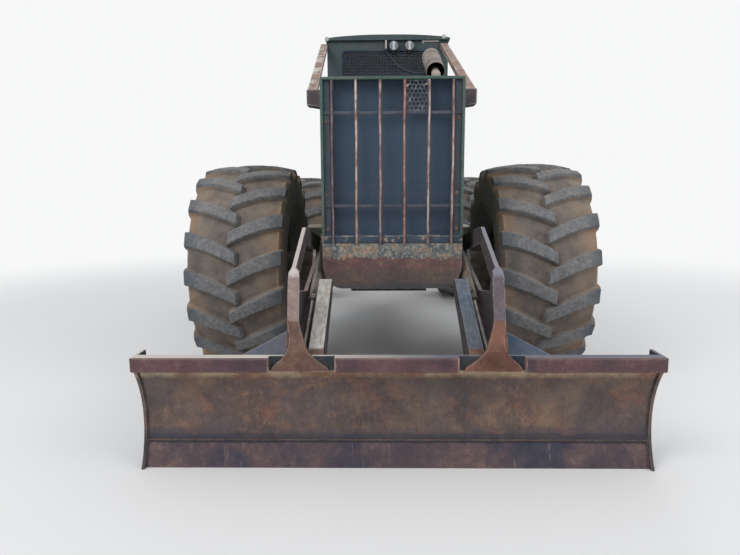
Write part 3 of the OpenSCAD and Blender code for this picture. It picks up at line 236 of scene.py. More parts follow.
def old_paint_group():
    """Sun-faded paint that chips to rust along its edges and in patches, with rust runs below."""
    given = start_group("Old paint", Place=None, Paint=(0.05, 0.13, 0.08), Faded=(0.11, 0.20, 0.14),
                        Edge=(0.20, 0.30, 0.22), Chips=0.2, Runs=0.3, Scale=1.0)
    place = vectors("SCALE", {0: given["Place"], "Scale": given["Scale"]})
    fade = noise(place, 1.9, 7.0, 0.62)
    scuff = noise(stretch(place, (1.0, 1.0, 7.0)), 5.0, 8.0, 0.7)
    body = mix(span(fade, 0.35, 0.65), given["Paint"], given["Faded"])
    body = mix(times(span(scuff, 0.52, 0.75), 0.55), body, given["Edge"])
    metal = use_group(RUST, {"Place": given["Place"], "Scale": given["Scale"]})
    edge = use_group(WEAR, {"Place": given["Place"]})["Mask"]
    chip_noise = noise(place, 8.5, 10.0, 0.72)
    needed = minus(0.78, times(given["Chips"], 0.42))
    chip = span(minus(chip_noise, needed), 0.0, 0.03)
    chip = larger(chip, times(edge, span(chip_noise, 0.45, 0.58)))
    runs = noise(stretch(place, (9.0, 9.0, 0.7)), 2.2, 6.0, 0.6)
    body = mix(times(span(runs, 0.50, 0.72), given["Runs"]), body, (0.17, 0.095, 0.055))
    body = mix(times(edge, 0.5), body, given["Edge"])
    return finish_group(Color=mix(chip, body, metal["Color"]),
                        Roughness=between(chip, 0.52, metal["Roughness"]),
                        Height=minus(times(metal["Height"], 0.35), times(chip, 0.5)))


def dust_group():
    """Pale dust on what faces up and in low patches."""
    given = start_group("Road dust", Place=None, Color=(0.5, 0.5, 0.5), Roughness=0.5,
                        Dust=(0.36, 0.31, 0.25), Amount=0.5)
    up = split(add("NewGeometry").outputs["Normal"])["Z"]
    patches = noise(given["Place"], 6.0, 8.0, 0.7)
    lying = times(span(up, 0.25, 0.95), span(patches, 0.30, 0.62))
    film = times(span(patches, 0.42, 0.74), 0.45)
    mask = times(larger(lying, film), given["Amount"])
    return finish_group(Color=mix(mask, given["Color"], given["Dust"]),
                        Roughness=between(mask, given["Roughness"], 0.93))


def ragged_group():
    """A value with noise added, so that a line drawn at it turns out ragged."""
    given = start_group("Ragged line", Value=0.0, Place=None, Scale=10.0, Detail=7.0, Coarseness=0.7,
                        Reach=0.05)
    wander = noise(given["Place"], given["Scale"], given["Detail"], given["Coarseness"])
    return finish_group(Value=plus(given["Value"], times(wander, given["Reach"])))


def moulded_group():
    """Moulded plastic or vinyl: paler scuffs, and a leather grain to bump with."""
    given = start_group("Moulded skin", Place=None, Dark=(0.03, 0.03, 0.03), Pale=(0.07, 0.07, 0.07),
                        Grain=400.0, Smoothest=0.5)
    cells = add("TexVoronoi", {"Vector": given["Place"], "Scale": given["Grain"]}).outputs["Distance"]
    scuff = noise(given["Place"], 8.0, 8.0, 0.7)
    rough = span(scuff, 0.3, 0.7, given["Smoothest"], plus(given["Smoothest"], 0.2))
    return finish_group(Color=mix(span(scuff, 0.42, 0.70), given["Dark"], given["Pale"]), Roughness=rough,
                        Height=cells)


WEAR = edge_wear_group()
RUST = rust_group()
PAINT = old_paint_group()
DUST = dust_group()
RAGGED = ragged_group()
MOULDED = moulded_group()


def ragged_by(value, place, scale, detail, coarseness, reach):
    return use_group(RAGGED, {"Value": value, "Place": place, "Scale": scale, "Detail": detail,
                              "Coarseness": coarseness, "Reach": reach})["Value"]


def worn_edges(place, radius, grain):
    return use_group(WEAR, {"Place": place, "Radius": radius, "Grain": grain})["Mask"]


def rub_edges(base, colour, share, place, radius, grain=18.0):
    """A colour over the solid's worn edges."""
    return mix(times(worn_edges(place, radius, grain), share), base, colour)


def rust(place, scale, dark, middle, bright):
    return use_group(RUST, {"Place": place, "Scale": scale, "Dark": dark, "Middle": middle,
                            "Bright": bright})


# Materials


def start_material(name):
    """A material with a Principled BSDF. Returns the object coordinates."""
    Making.material = bpy.data.materials.new(name)
    Making.material.use_nodes = True
    Making.tree = Making.material.node_tree
    return add("TexCoord").outputs["Object"]


def finish_shader(base, rough, height=None, strength=0.6, distance=0.004, **others):
    """Links colour, roughness and bump to the shader, sets its other sockets and returns the material."""
    sockets = Making.tree.nodes["Principled BSDF"].inputs
    plug(sockets["Base Color"], base)
    plug(sockets["Roughness"], rough)
    if height is not None:
        relief = add("Bump", {"Height": height, "Strength": strength, "Distance": distance})
        plug(sockets["Normal"], relief.outputs[0])
    for label, value in others.items():
        plug(sockets[label.replace("_", " ")], value)
    return Making.material


def finish_surface(place, base, skin, dust, bump, metal=0.0, dust_colour=(0.36, 0.31, 0.25)):
    """Lays dust over a colour, with the roughness and relief of a skin."""
    over = use_group(DUST, {"Place": place, "Color": base, "Roughness": skin["Roughness"],
                            "Dust": dust_colour, "Amount": dust})
    return finish_shader(over["Color"], over["Roughness"], skin["Height"], distance=bump, Metallic=metal)


def painted(name, paint, faded, edge, chips, runs, dust, scale=1.0):
    place = start_material(name)
    coat = use_group(PAINT, {"Place": place, "Paint": paint, "Faded": faded, "Edge": edge, "Chips": chips,
                             "Runs": runs, "Scale": scale})
    return finish_surface(place, coat["Color"], coat, dust, 0.004)


def rusted(name, dark, middle, bright, worn, dust, scale=1.0, metal=0.15):
    """Rusted steel whose edges are rubbed to a paler colour."""
    place = start_material(name)
    skin = rust(place, scale, dark, middle, bright)
    base = rub_edges(skin["Color"], worn, 0.75, place, 0.01)
    return finish_surface(place, base, skin, dust, 0.005, metal)


GREEN = (0.020, 0.060, 0.038)
GREEN_FADED = (0.050, 0.105, 0.070)
GREEN_EDGE = (0.10, 0.20, 0.11)


def blade_plate():
    """The blade's plate: brown rust, darker low down, purple-red along its top rail.
    Painted shade darkens it inside the rail's notches; the rail's top has painted sunlight and shade.
    """
    place = start_material("Blade plate, rusted")
    skin = rust(place, 0.9, (0.078, 0.059, 0.059), (0.148, 0.099, 0.081), (0.31, 0.170, 0.110))
    height = split(place)["Z"]
    ragged = ragged_by(height, place, 7.0, 7.0, 0.7, 0.05)
    rail = rust(place, 1.6, (0.062, 0.038, 0.050), (0.120, 0.060, 0.068), (0.21, 0.120, 0.112))
    base = mix(span(ragged, 0.622, 0.634), skin["Color"], rail["Color"])
    grain = noise(stretch(place, (9.0, 1.0, 1.6)), 5.0, 8.0, 0.7)
    below = span(height, RAIL_Z + 0.006, RAIL_Z)
    base = mix(below, base, tinted(base, mix(span(grain, 0.32, 0.68), (0.74, 0.76, 0.80),
                                             (1.18, 1.14, 1.08))))
    cool = times(span(noise(place, 1.7, 7.0, 0.66), 0.47, 0.60), below)
    base = mix(times(cool, 0.55), base, (0.082, 0.078, 0.092))
    red = times(span(noise(place, 4.6, 8.0, 0.72, 0.5), 0.53, 0.62), below)
    base = mix(times(red, 0.45), base, (0.25, 0.110, 0.070))
    clay = span(noise(place, 3.2, 9.0, 0.68), 0.48, 0.68)
    base = mix(times(clay, below, 0.34), base, (0.34, 0.235, 0.145))
    hanging = ragged_by(height, place, 13.0, 6.0, 0.7, 0.05)
    under_rail = times(span(hanging, RAIL_Z - 0.034, RAIL_Z), below)
    dirt = mix(span(noise(place, 6.0, 7.0, 0.65), 0.42, 0.58), (0.24, 0.125, 0.075), (0.46, 0.355, 0.225))
    base = mix(times(under_rail, 0.82), base, dirt)
    low = times(span(ragged, 0.26, 0.235), span(noise(place, 2.3, 6.0), 0.38, 0.60))
    base = mix(times(low, 0.75), base, (0.055, 0.050, 0.066))
    spot = split(place)
    across = maths("ABSOLUTE", spot["X"])
    on_rail = span(height, RAIL_Z, RAIL_Z + 0.006)
    # Painted shade: the plate seen inside the rail's notches, set back behind the rail, is painted dark
    # navy.
    back = times(span(spot["Y"], BLADE_LOW.y + 0.040, BLADE_LOW.y + 0.048), on_rail)
    base = mix(back, base, mix(span(noise(place, 9.0, 7.0), 0.4, 0.65), (0.014, 0.026, 0.040),
                               (0.050, 0.055, 0.062)))
    ragged_x = ragged_by(across, place, 24.0, 7.0, 0.7, 0.05)
    worn = larger(times(span(ragged_x, 0.362, 0.368), span(across, 0.36, 0.35)),
                  times(span(ragged_x, 0.744, 0.738), span(across, 0.70, 0.71)))
    worn = times(worn, on_rail, span(spot["Y"], BLADE_LOW.y + 0.045, BLADE_LOW.y + 0.035))
    base = mix(times(worn, 0.85), base, (0.36, 0.205, 0.150))
    seam = times(span(ragged, 0.226, 0.204), 0.78)
    base = mix(seam, base, (0.030, 0.032, 0.046))
    base = rub_edges(base, (0.44, 0.36, 0.32), 0.6, place, 0.008)
    # Painted sunlight and shade: faces on top of the rail get a pale colour on the left and a blue-grey on
    # the right, held in rubbed.
    top = split(add("NewGeometry").outputs["Normal"])["Z"]
    bright = times(span(top, 0.7, 0.95), span(height, 0.66, 0.68))
    rubbed = mix(span(spot["X"], -0.45, 0.25), (0.68, 0.62, 0.57), (0.150, 0.155, 0.190))
    base = mix(times(bright, 0.85), base, rubbed)
    return finish_surface(place, base, skin, 0.14, 0.006, 0.1)


def cutting_edge():
    """Cutting edge: purple-brown steel with navy patches, flecks of rust and clay, and a dark top."""
    place = start_material("Cutting edge steel")
    skin = rust(place, 1.3, (0.068, 0.052, 0.066), (0.125, 0.085, 0.090), (0.23, 0.135, 0.105))
    height = split(place)["Z"]
    broad = noise(place, 1.35, 6.0, 0.60, 0.3)
    base = mix(times(span(broad, 0.50, 0.57), 0.84), skin["Color"], (0.036, 0.039, 0.062))
    streaks = noise(stretch(place, (7.0, 1.0, 1.2)), 4.0, 8.0, 0.75)
    base = mix(times(span(streaks, 0.58, 0.68), 0.55), base, (0.25, 0.195, 0.155))
    ragged = ragged_by(height, place, 16.0, 7.0, 0.7, 0.030)
    base = mix(times(span(ragged, 0.146, 0.152), 0.85), base, (0.028, 0.028, 0.044))
    base = rub_edges(base, (0.26, 0.22, 0.22), 0.5, place, 0.008)
    return finish_surface(place, base, skin, 0.10, 0.005, 0.2)


def arm_plates():
    """Blade arms: pale worn flange over an orange foot, grey struts, blue-grey braces, and painted light.
    Faces facing neither ahead nor up, the right flange, struts, braces and top edge, and the left foot
    get painted shade; the left struts and top edge get painted sunlight.
    """
    place = start_material("Arm plates, worn")
    spot = split(place)
    facing = surface_facing()
    across = maths("ABSOLUTE", spot["X"])
    ragged = ragged_by(spot["Z"], place, 11.0, 7.0, 0.7, 0.05)
    # Painted shade: this dark rust goes on every face that faces neither ahead nor up, such as the inner
    # faces.
    shade = rust(place, 1.2, (0.030, 0.028, 0.034), (0.068, 0.056, 0.060), (0.13, 0.090, 0.070))
    skin = rust(place, 1.6, (0.17, 0.130, 0.125), (0.29, 0.215, 0.200), (0.43, 0.33, 0.30))
    orange = rust(place, 1.5, (0.11, 0.050, 0.034), (0.24, 0.108, 0.068), (0.37, 0.19, 0.115))
    open_face = larger(span(facing["Y"], -0.25, -0.60), span(facing["Z"], 0.30, 0.75))
    # Painted shade: the right flange's rust is tinted darker and bluer than the left's; this side mask also
    # splits the struts, braces, foot and top edge below.
    right = span(spot["X"], -0.1, 0.1)
    flange = mix(right, skin["Color"], tinted(skin["Color"], (0.40, 0.45, 0.60)))
    base = mix(open_face, shade["Color"], flange)
    strut = times(span(across, 0.520, 0.505), span(spot["Y"], BLADE_LOW.y + 0.10, BLADE_LOW.y + 0.16))
    strut = times(strut, open_face)
    flecks = span(noise(stretch(place, (3.0, 1.0, 1.0)), 16.0, 8.0, 0.75), 0.42, 0.58)
    pale = mix(flecks, (0.44, 0.40, 0.36), (0.70, 0.68, 0.64))
    # Painted sunlight and shade on the struts: pale holds the sunlit left colour, steel the blue-grey of the
    # shaded right.
    steel = mix(flecks, (0.060, 0.088, 0.125), (0.125, 0.180, 0.250))
    base = mix(times(strut, span(ragged, 0.60, 0.72, 0.6, 0.95)), base, mix(right, pale, steel))
    # Painted shade: the right brace is painted darker than the left.
    brace = times(span(across, 0.626, 0.632), span(spot["Z"], 0.790, 0.780))
    base = mix(times(brace, 0.85), base, mix(right, (0.080, 0.110, 0.165), (0.042, 0.092, 0.160)))
    foot = times(span(ragged, 0.903, 0.897), span(spot["Y"], BLADE_LOW.y + 0.170, BLADE_LOW.y + 0.150))
    # Painted shade on the left foot: darker tints its orange darker and bluer than the right foot's.
    darker = mix(right, (0.58, 0.66, 0.78), (0.84, 0.76, 0.72))
    base = mix(foot, base, tinted(orange["Color"], darker))
    # The plates' top edge: painted sunlight on the left, painted shade on the right.
    crest = times(span(ragged, 1.125, 1.150), open_face)
    base = mix(times(crest, 0.8), base, mix(right, (0.62, 0.565, 0.53), (0.23, 0.235, 0.29)))
    base = rub_edges(base, (0.56, 0.50, 0.46), 0.65, place, 0.009, 26.0)
    return finish_surface(place, base, skin, 0.25, 0.005, 0.12)


def grille_bar():
    """Round bars rubbed pale down the middle of their fronts, rust beside it, each bar in its own tone."""
    place = start_material("Grille bar, rubbed")
    facing = surface_facing()
    aside = split(place)["X"]
    tint, share = BAR_TONES[0][:3], BAR_TONES[0][3]
    for x, (red, green, blue, rub) in zip(BARS[1:], BAR_TONES[1:]):
        past = span(aside, x - 0.08, x - 0.07)
        tint = mix(past, tint, (red, green, blue))
        share = between(past, share, rub)
    skin = rust(place, 2.6, (0.13, 0.078, 0.072), (0.26, 0.155, 0.135), (0.42, 0.29, 0.24))
    long_way = noise(stretch(place, (14.0, 1.0, 2.2)), 2.6, 7.0, 0.65)
    fine = noise(stretch(place, (1.0, 1.0, 0.35)), 60.0, 4.0, 0.6)
    rubbed = times(span(facing["Y"], -0.72, -0.95), span(long_way, 0.40, 0.56))
    rubbed = times(rubbed, span(fine, 0.34, 0.56), share)
    base = tinted(skin["Color"], tint)
    base = mix(rubbed, base, (0.68, 0.63, 0.57))
    return finish_surface(place, base, skin, 0.08, 0.002)


def muffler_steel():
    """Muffler: grey-brown scale, black soot inside the open drum and a pale pipe."""
    place = start_material("Muffler steel, sooty inside")
    skin = rust(place, 1.8, (0.185, 0.160, 0.145), (0.30, 0.26, 0.235), (0.44, 0.37, 0.32))
    ahead = tuple((DRUM_HIGH - DRUM_LOW).normalized())
    reach = vectors("SUBTRACT", {0: place, 1: tuple(DRUM_LOW)})
    along = vectors("DOT_PRODUCT", {0: reach, 1: ahead}, "Value")
    on_axis = vectors("SCALE", {0: ahead, "Scale": along})
    radius = vectors("LENGTH", {0: vectors("SUBTRACT", {0: reach, 1: on_axis})}, "Value")
    inside = times(span(radius, DRUM_R - 0.0025, DRUM_R - 0.0045), span(along, -0.004, 0.004))
    pipe = span(radius, 0.045, 0.040)
    base = mix(inside, skin["Color"], (0.014, 0.013, 0.014))
    base = mix(times(pipe, span(along, 0.10, 0.0)), base, (0.42, 0.37, 0.33))
    return finish_surface(place, base, skin, 0.15, 0.003, 0.25)


def nose_plate():
    """The nose: a blue strip at its top, flaking paint below it, then red and brown rust,
    and painted shade low down, stronger towards the right.
    """
    place = start_material("Nose plate, flaking paint over rust")
    spot = split(place)
    height = spot["Z"]
    ragged = ragged_by(height, place, 9.0, 9.0, 0.7, 0.09)
    red = rust(place, 1.4, (0.098, 0.060, 0.062), (0.165, 0.092, 0.084), (0.28, 0.155, 0.105))
    brown = rust(place, 1.0, (0.078, 0.064, 0.060), (0.135, 0.098, 0.080), (0.21, 0.145, 0.105))
    base = mix(span(ragged, 1.04, 1.10), brown["Color"], red["Color"])
    # Painted shade: dark navy low on the nose, stronger towards the right side.
    low = times(span(ragged, 1.01, 0.95), span(spot["X"], -0.45, 0.05, 0.35, 0.9))
    base = mix(low, base, (0.050, 0.058, 0.070))
    coarse = noise(place, 13.0, 7.0, 0.7, 0.4)
    fine = noise(place, 38.0, 9.0, 0.78, 0.6)
    torn = plus(ragged, times(minus(fine, 0.5), 0.10))
    band = span(torn, 1.158, 1.178)
    paint = mix(span(coarse, 0.42, 0.52), (0.090, 0.115, 0.130), (0.21, 0.215, 0.185))
    paint = mix(times(span(coarse, 0.50, 0.57), 0.85), paint, (0.29, 0.170, 0.105))
    paint = mix(times(span(fine, 0.52, 0.57), 0.75), paint, (0.44, 0.40, 0.33))
    paint = mix(times(span(fine, 0.45, 0.40), 0.65), paint, (0.085, 0.080, 0.085))
    base = mix(band, base, paint)
    strip = span(height, NOSE_JOINT_Z - 0.002, NOSE_JOINT_Z + 0.002)
    blue = mix(times(span(coarse, 0.55, 0.60), span(fine, 0.44, 0.52)), (0.038, 0.062, 0.094),
               (0.44, 0.32, 0.22))
    base = mix(strip, base, blue)
    joint = times(span(height, NOSE_JOINT_Z - 0.009, NOSE_JOINT_Z - 0.005),
                  span(height, NOSE_JOINT_Z + 0.003, NOSE_JOINT_Z - 0.001))
    base = mix(times(joint, 0.85), base, (0.020, 0.022, 0.030))
    lip = times(span(height, 1.276, 1.280), span(noise(place, 11.0, 6.0), 0.47, 0.52))
    edge = worn_edges(place, 0.01, 18.0)
    base = mix(times(larger(edge, lip), 0.6), base, (0.42, 0.40, 0.38))
    relief = minus(plus(red["Height"], times(band, fine, 0.6)), joint)
    return finish_surface(place, base, {"Roughness": red["Roughness"], "Height": relief}, 0.15, 0.005)


def tread_rubber():
    """Worn tread: grey dusty lug tops, tan mud between, dark stains. The origin is at the hub."""
    place = start_material("Tread rubber, muddy")
    parts = split(place)
    flat = add("CombineXYZ", {"Y": parts["Y"], "Z": parts["Z"]}).outputs[0]
    radius = vectors("LENGTH", {0: flat}, "Value")
    grain = noise(place, 34.0, 7.0, 0.68)
    rub = noise(place, 6.0, 8.0, 0.66)
    rubber = mix(span(grain, 0.35, 0.68), (0.098, 0.104, 0.114), (0.215, 0.216, 0.218))
    mud = mix(span(rub, 0.38, 0.62), (0.094, 0.084, 0.078), (0.165, 0.138, 0.114))
    aside = maths("ABSOLUTE", parts["X"])
    warm = span(noise(place, 2.4, 6.0, 0.6), 0.36, 0.56)
    warm = times(warm, span(aside, TYRE_HALF - 0.24, TYRE_HALF - 0.05, 0.12, 0.95))
    mud = mix(times(warm, 0.75), mud, (0.33, 0.205, 0.115))
    lifted = plus(radius, times(minus(rub, 0.5), 0.03))
    drop = times(maths("POWER", maths("DIVIDE", aside, 0.33), 2.6), 0.035)
    lug = larger(span(plus(lifted, drop), TYRE_R - 0.034, TYRE_R - 0.012), span(aside, 0.389, 0.396))
    wall = span(radius, TYRE_R - 0.20, TYRE_R - 0.09)
    base = mix(times(wall, 0.9), mix(0.30, rubber, mud), mud)
    ends = span(aside, TYRE_HALF - 0.13, TYRE_HALF - 0.04)
    top = mix(times(ends, 0.75), rubber, (0.060, 0.072, 0.090))
    base = mix(lug, base, top)
    stain = times(span(noise(place, 4.3, 9.0, 0.75, 0.8), 0.55, 0.68), 0.7)
    base = mix(times(stain, 0.6), base, (0.065, 0.066, 0.070))
    skin = {"Roughness": span(grain, 0.3, 0.7, 0.96, 0.80), "Height": plus(grain, rub)}
    return finish_surface(place, base, skin, 0.45, 0.006, dust_colour=(0.33, 0.285, 0.235))


def window_glass():
    place = start_material("Window glass, dusty")
    smear = noise(place, 3.0, 8.0, 0.7)
    tint = mix(span(smear, 0.4, 0.7), (0.060, 0.085, 0.100), (0.10, 0.12, 0.12))
    return finish_shader(tint, span(smear, 0.35, 0.75, 0.06, 0.38), Transmission_Weight=1.0, IOR=1.45)


def lens_glass():
    """Ribbed lamp lens: a pale stripe down the middle of each lamp, dark beside it, a paler rim."""
    place = start_material("Lamp lens, ribbed")
    spot = split(place)
    middle, apart = (LAMPS[0][0] + LAMPS[1][0]) / 2, (LAMPS[1][0] - LAMPS[0][0]) / 2
    across = maths("ABSOLUTE", minus(maths("ABSOLUTE", minus(spot["X"], middle)), apart))
    rise = minus(spot["Z"], LAMPS[0][1])
    radius = maths("SQRT", plus(times(across, across), times(rise, rise)))
    ribs = add("TexWave", {"Vector": place, "Scale": 30.0, "Distortion": 0.2},
               bands_direction="X").outputs[1]
    dirt = noise(place, 22.0, 6.0, 0.7)
    stripe = plus(times(span(across, 0.017, 0.009), 0.85), times(span(radius, 0.030, 0.036), 0.30))
    stripe = plus(stripe, times(ribs, 0.12))
    base = mix(stripe, (0.070, 0.105, 0.150), (0.56, 0.57, 0.56))
    base = mix(times(span(dirt, 0.5, 0.75), 0.6), base, (0.20, 0.19, 0.17))
    return finish_shader(base, span(dirt, 0.3, 0.7, 0.25, 0.5), ribs, 0.4, 0.001, Coat_Weight=0.25)


def patch_plate():
    """Perforated plate: dark, with pale cream flecks along its top and round some holes:
    painted sunlight on its webs.
    """
    place = start_material("Perforated plate")
    skin = rust(place, 5.0, (0.030, 0.048, 0.072), (0.056, 0.076, 0.100), (0.12, 0.12, 0.115))
    height = split(place)["Z"]
    flecks = span(noise(place, 52.0, 5.0, 0.7), 0.53, 0.59)
    broad = span(noise(place, 15.0, 4.0, 0.6), 0.46, 0.60)
    # Painted sunlight: pale flecks, most along the plate's top and in broad patches.
    share = larger(span(height, 2.318, 2.336), times(broad, 0.7))
    base = mix(times(flecks, share), skin["Color"], (0.40, 0.37, 0.28))
    return finish_surface(place, base, skin, 0.10, 0.002)


def riser_steel():
    """Guard rails: orange-brown rust under patches of old white paint, pale edges and dark brackets.
    The white covers more of the left rail: there it is partly painted sunlight.
    """
    place = start_material("Guard rail steel")
    skin = rust(place, 2.4, (0.205, 0.130, 0.105), (0.31, 0.195, 0.150), (0.46, 0.31, 0.23))
    spot = split(place)
    # Painted sunlight: the white patches cover 0.80 of the left rail and 0.25 of the right.
    left = span(spot["X"], 0.1, -0.1)
    white = span(noise(place, 6.5, 6.0, 0.72), 0.49, 0.58)
    share = between(left, 0.25, 0.80)
    base = mix(times(white, share), skin["Color"], (0.66, 0.62, 0.58))
    iron = rust(place, 2.0, (0.058, 0.050, 0.066), (0.098, 0.078, 0.088), (0.165, 0.115, 0.105))
    base = mix(span(spot["Z"], BRACKET_TOP_Z + 0.006, BRACKET_TOP_Z - 0.004), base, iron["Color"])
    base = rub_edges(base, (0.72, 0.68, 0.64), 0.85, place, 0.018, 7.0)
    return finish_surface(place, base, skin, 0.12, 0.004, 0.1)


def core_fins():
    """Radiator core behind a fine screen: dark blue-grey with pale lines of dust."""
    place = start_material("Radiator core")
    lines = add("TexWave", {"Vector": place, "Scale": 120.0}, bands_direction="Z").outputs[1]
    patches = noise(place, 1.7, 6.0, 0.6)
    rows = noise(stretch(place, (0.5, 1.0, 9.0)), 4.0, 6.0, 0.7)
    base = mix(span(patches, 0.35, 0.68), (0.036, 0.066, 0.110), (0.058, 0.096, 0.152))
    base = mix(times(span(rows, 0.52, 0.72), 0.30), base, (0.100, 0.110, 0.120))
    base = mix(times(lines, 0.35), base, (0.012, 0.015, 0.02))
    return finish_shader(base, span(patches, 0.3, 0.7, 0.55, 0.8), lines, 0.5, 0.002)


def plastic(name, dark, pale, grain_scale, rough):
    """Moulded plastic or vinyl, a little dusty."""
    place = start_material(name)
    skin = use_group(MOULDED, {"Place": place, "Dark": dark, "Pale": pale, "Grain": grain_scale,
                               "Smoothest": rough})
    return finish_surface(place, skin["Color"], skin, 0.30, 0.0008)


def bright_rod():
    """Dull chrome with oil and fine scratches along the rod."""
    place = start_material("Cylinder rod, dull chrome")
    scratch = noise(place, 60.0, 4.0, 0.6)
    oil = noise(place, 7.0, 7.0, 0.65)
    base = mix(span(oil, 0.40, 0.66), (0.56, 0.55, 0.53), (0.27, 0.24, 0.21))
    return finish_surface(place, base, {"Roughness": span(scratch, 0.3, 0.7, 0.22, 0.42), "Height": scratch},
                          0.25, 0.0006, 0.9)


def make_materials():
    return {
        "green": painted("Green paint, sun-faded", GREEN, GREEN_FADED, GREEN_EDGE, 0.20, 0.30, 0.45),
        # Painted shade: the cab's dark green carries the blue cast of shade lit by the sky.
        "green_dark_painted_shade": painted("Green paint, cab", (0.012, 0.031, 0.038), (0.021, 0.048, 0.056),
                              (0.048, 0.092, 0.092), 0.12, 0.20, 0.16),
        "green_edge": painted("Green paint, grille edge", (0.024, 0.066, 0.056), (0.048, 0.102, 0.086),
                              (0.15, 0.22, 0.17), 0.30, 0.30, 0.18, 1.6),
        "flange": painted("Flange paint, blue and brown", (0.022, 0.044, 0.072), (0.044, 0.066, 0.096),
                          (0.10, 0.12, 0.14), 0.36, 0.32, 0.12, 2.2),
        "green_worn": painted("Green paint, worn", GREEN, GREEN_FADED, GREEN_EDGE, 0.55, 0.55, 0.60, 1.3),
        "frame": painted("Frame paint, oily", (0.022, 0.040, 0.030), (0.060, 0.082, 0.062),
                         (0.14, 0.18, 0.13), 0.50, 0.50, 0.75, 1.2),
        "barrel": painted("Cylinder barrel paint", (0.055, 0.058, 0.055), (0.13, 0.13, 0.12),
                          (0.26, 0.25, 0.23), 0.55, 0.45, 0.55, 2.0),
        "rim": painted("Rim paint, muddy", (0.045, 0.055, 0.040), (0.105, 0.105, 0.080), (0.20, 0.19, 0.15),
                       0.40, 0.45, 0.90, 1.6),
        "riser": riser_steel(),
        "arm": arm_plates(),
        "weld": rusted("Weld bead", (0.035, 0.028, 0.034), (0.075, 0.052, 0.048), (0.15, 0.095, 0.070),
                       (0.20, 0.16, 0.14), 0.15, 3.0, 0.2),
        "iron_dark": rusted("Dark iron fittings", (0.020, 0.022, 0.024), (0.050, 0.046, 0.044),
                            (0.115, 0.080, 0.060), (0.22, 0.20, 0.18), 0.35, 3.0, 0.4),
        "pale_steel": rusted("Pale bracket steel", (0.42, 0.42, 0.41), (0.60, 0.60, 0.59),
                             (0.66, 0.64, 0.61), (0.78, 0.77, 0.75), 0.08, 3.0, 0.1),
        "rusty_bolt": rusted("Rusty bolt heads", (0.10, 0.050, 0.036), (0.22, 0.110, 0.072),
                             (0.36, 0.21, 0.14), (0.42, 0.32, 0.26), 0.15, 5.0, 0.2),
        "rail": rusted("Cross rail steel", (0.044, 0.060, 0.086), (0.080, 0.094, 0.122),
                       (0.18, 0.155, 0.160), (0.18, 0.18, 0.20), 0.20, 3.0, 0.2),
        "patch": patch_plate(),
        "blade": blade_plate(),
        "edge": cutting_edge(),
        "nose": nose_plate(),
        "bars": grille_bar(),
        "muffler": muffler_steel(),
        "iron": rusted("Axle iron, dusty", (0.060, 0.050, 0.042), (0.125, 0.102, 0.080), (0.21, 0.165, 0.12),
                       (0.26, 0.23, 0.20), 0.85, 1.4),
        "tong": rusted("Tong steel, scraped", (0.080, 0.066, 0.060), (0.185, 0.145, 0.120),
                       (0.30, 0.215, 0.16), (0.46, 0.43, 0.40), 0.35, 1.8, 0.4),
        "tread": tread_rubber(),
        "glass": window_glass(),
        "lens": lens_glass(),
        "core": core_fins(),
        "vinyl": plastic("Seat vinyl, black", (0.020, 0.020, 0.021), (0.060, 0.058, 0.056), 420.0, 0.45),
        "plastic": plastic("Console plastic", (0.028, 0.028, 0.029), (0.070, 0.068, 0.064), 520.0, 0.50),
        "rubber": plastic("Rubber seal", (0.016, 0.016, 0.016), (0.045, 0.043, 0.040), 260.0, 0.65),
        "wire": plastic("Wire insulation, dusty", (0.060, 0.085, 0.110), (0.15, 0.18, 0.20), 300.0, 0.6),
        "screen": rusted("Guard screen wire", (0.028, 0.060, 0.095), (0.050, 0.090, 0.134),
                         (0.080, 0.100, 0.120), (0.070, 0.108, 0.150), 0.06, 3.0, 0.2),
        "rod": bright_rod(),
    }


MATERIALS = make_materials()

NODE_MATERIALS = {
    "green": ["hood", "arch", "boom", "grapple_head"],
    "green_dark_painted_shade": ["cab_shell", "cab_roof", "door_left", "door_right"],
    "frame": ["front_chassis", "rear_chassis", "side_steps", "engine_block"],
    "iron": ["front_axle", "rear_axle"],
    "rim": ["rim_" + wheel for wheel in WHEELS],
    "tread": ["tyre_" + wheel for wheel in WHEELS],
    "riser": ["limb_risers"],
    "arm": ["blade_arms"],
    "blade": ["moldboard"],
    "edge": ["cutting_edge"],
    "nose": ["nose"],
    "bars": ["grille"],
    "muffler": ["muffler"],
    "core": ["radiator"],
    "glass": ["cab_glass"],
    "lens": ["work_lamps"],
    "vinyl": ["seat"],
    "plastic": ["controls"],
    "barrel": ["blade_cylinders", "steer_barrel_left", "steer_barrel_right", "arch_cylinders",
               "boom_cylinder", "tong_barrel"],
    "rod": ["blade_rods", "steer_rod_left", "steer_rod_right", "arch_rods", "boom_rod", "tong_rod"],
    "tong": ["grapple_link", "rotator", "tong_left", "tong_right"],
}


def dress_nodes():
    for finish, names in NODE_MATERIALS.items():
        for name in names:
            mesh = NODES[name].data
            mesh.materials.clear()
            mesh.materials.append(MATERIALS[finish])


dress_nodes()


# Mesh helpers

# A ring narrower than this is drawn as one point
TIP = 1e-6


def put(name, data):
    """A new object in the scene."""
    made = bpy.data.objects.new(name, data)
    bpy.context.scene.collection.objects.link(made)
    return made


def mesh_from(bm, name):
    bmesh.ops.recalc_face_normals(bm, faces=bm.faces)
    mesh = bpy.data.meshes.new(name)
    bm.to_mesh(mesh)
    bm.free()
    return mesh


def piece(name, shape, body, finish, smooth=True, place=(0, 0, 0)):
    """An object that rides on a body, with its finish. Its shape is a bmesh or mesh data."""
    mesh = mesh_from(shape, name) if isinstance(shape, bmesh.types.BMesh) else shape
    made = put(name, mesh)
    made.location = place
    if not mesh.materials:
        mesh.materials.append(MATERIALS[finish])
    if smooth:
        mesh.polygons.foreach_set("use_smooth", [True] * len(mesh.polygons))
        mesh.set_sharp_from_angle(angle=math.radians(38))
    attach(made, body)
    return made


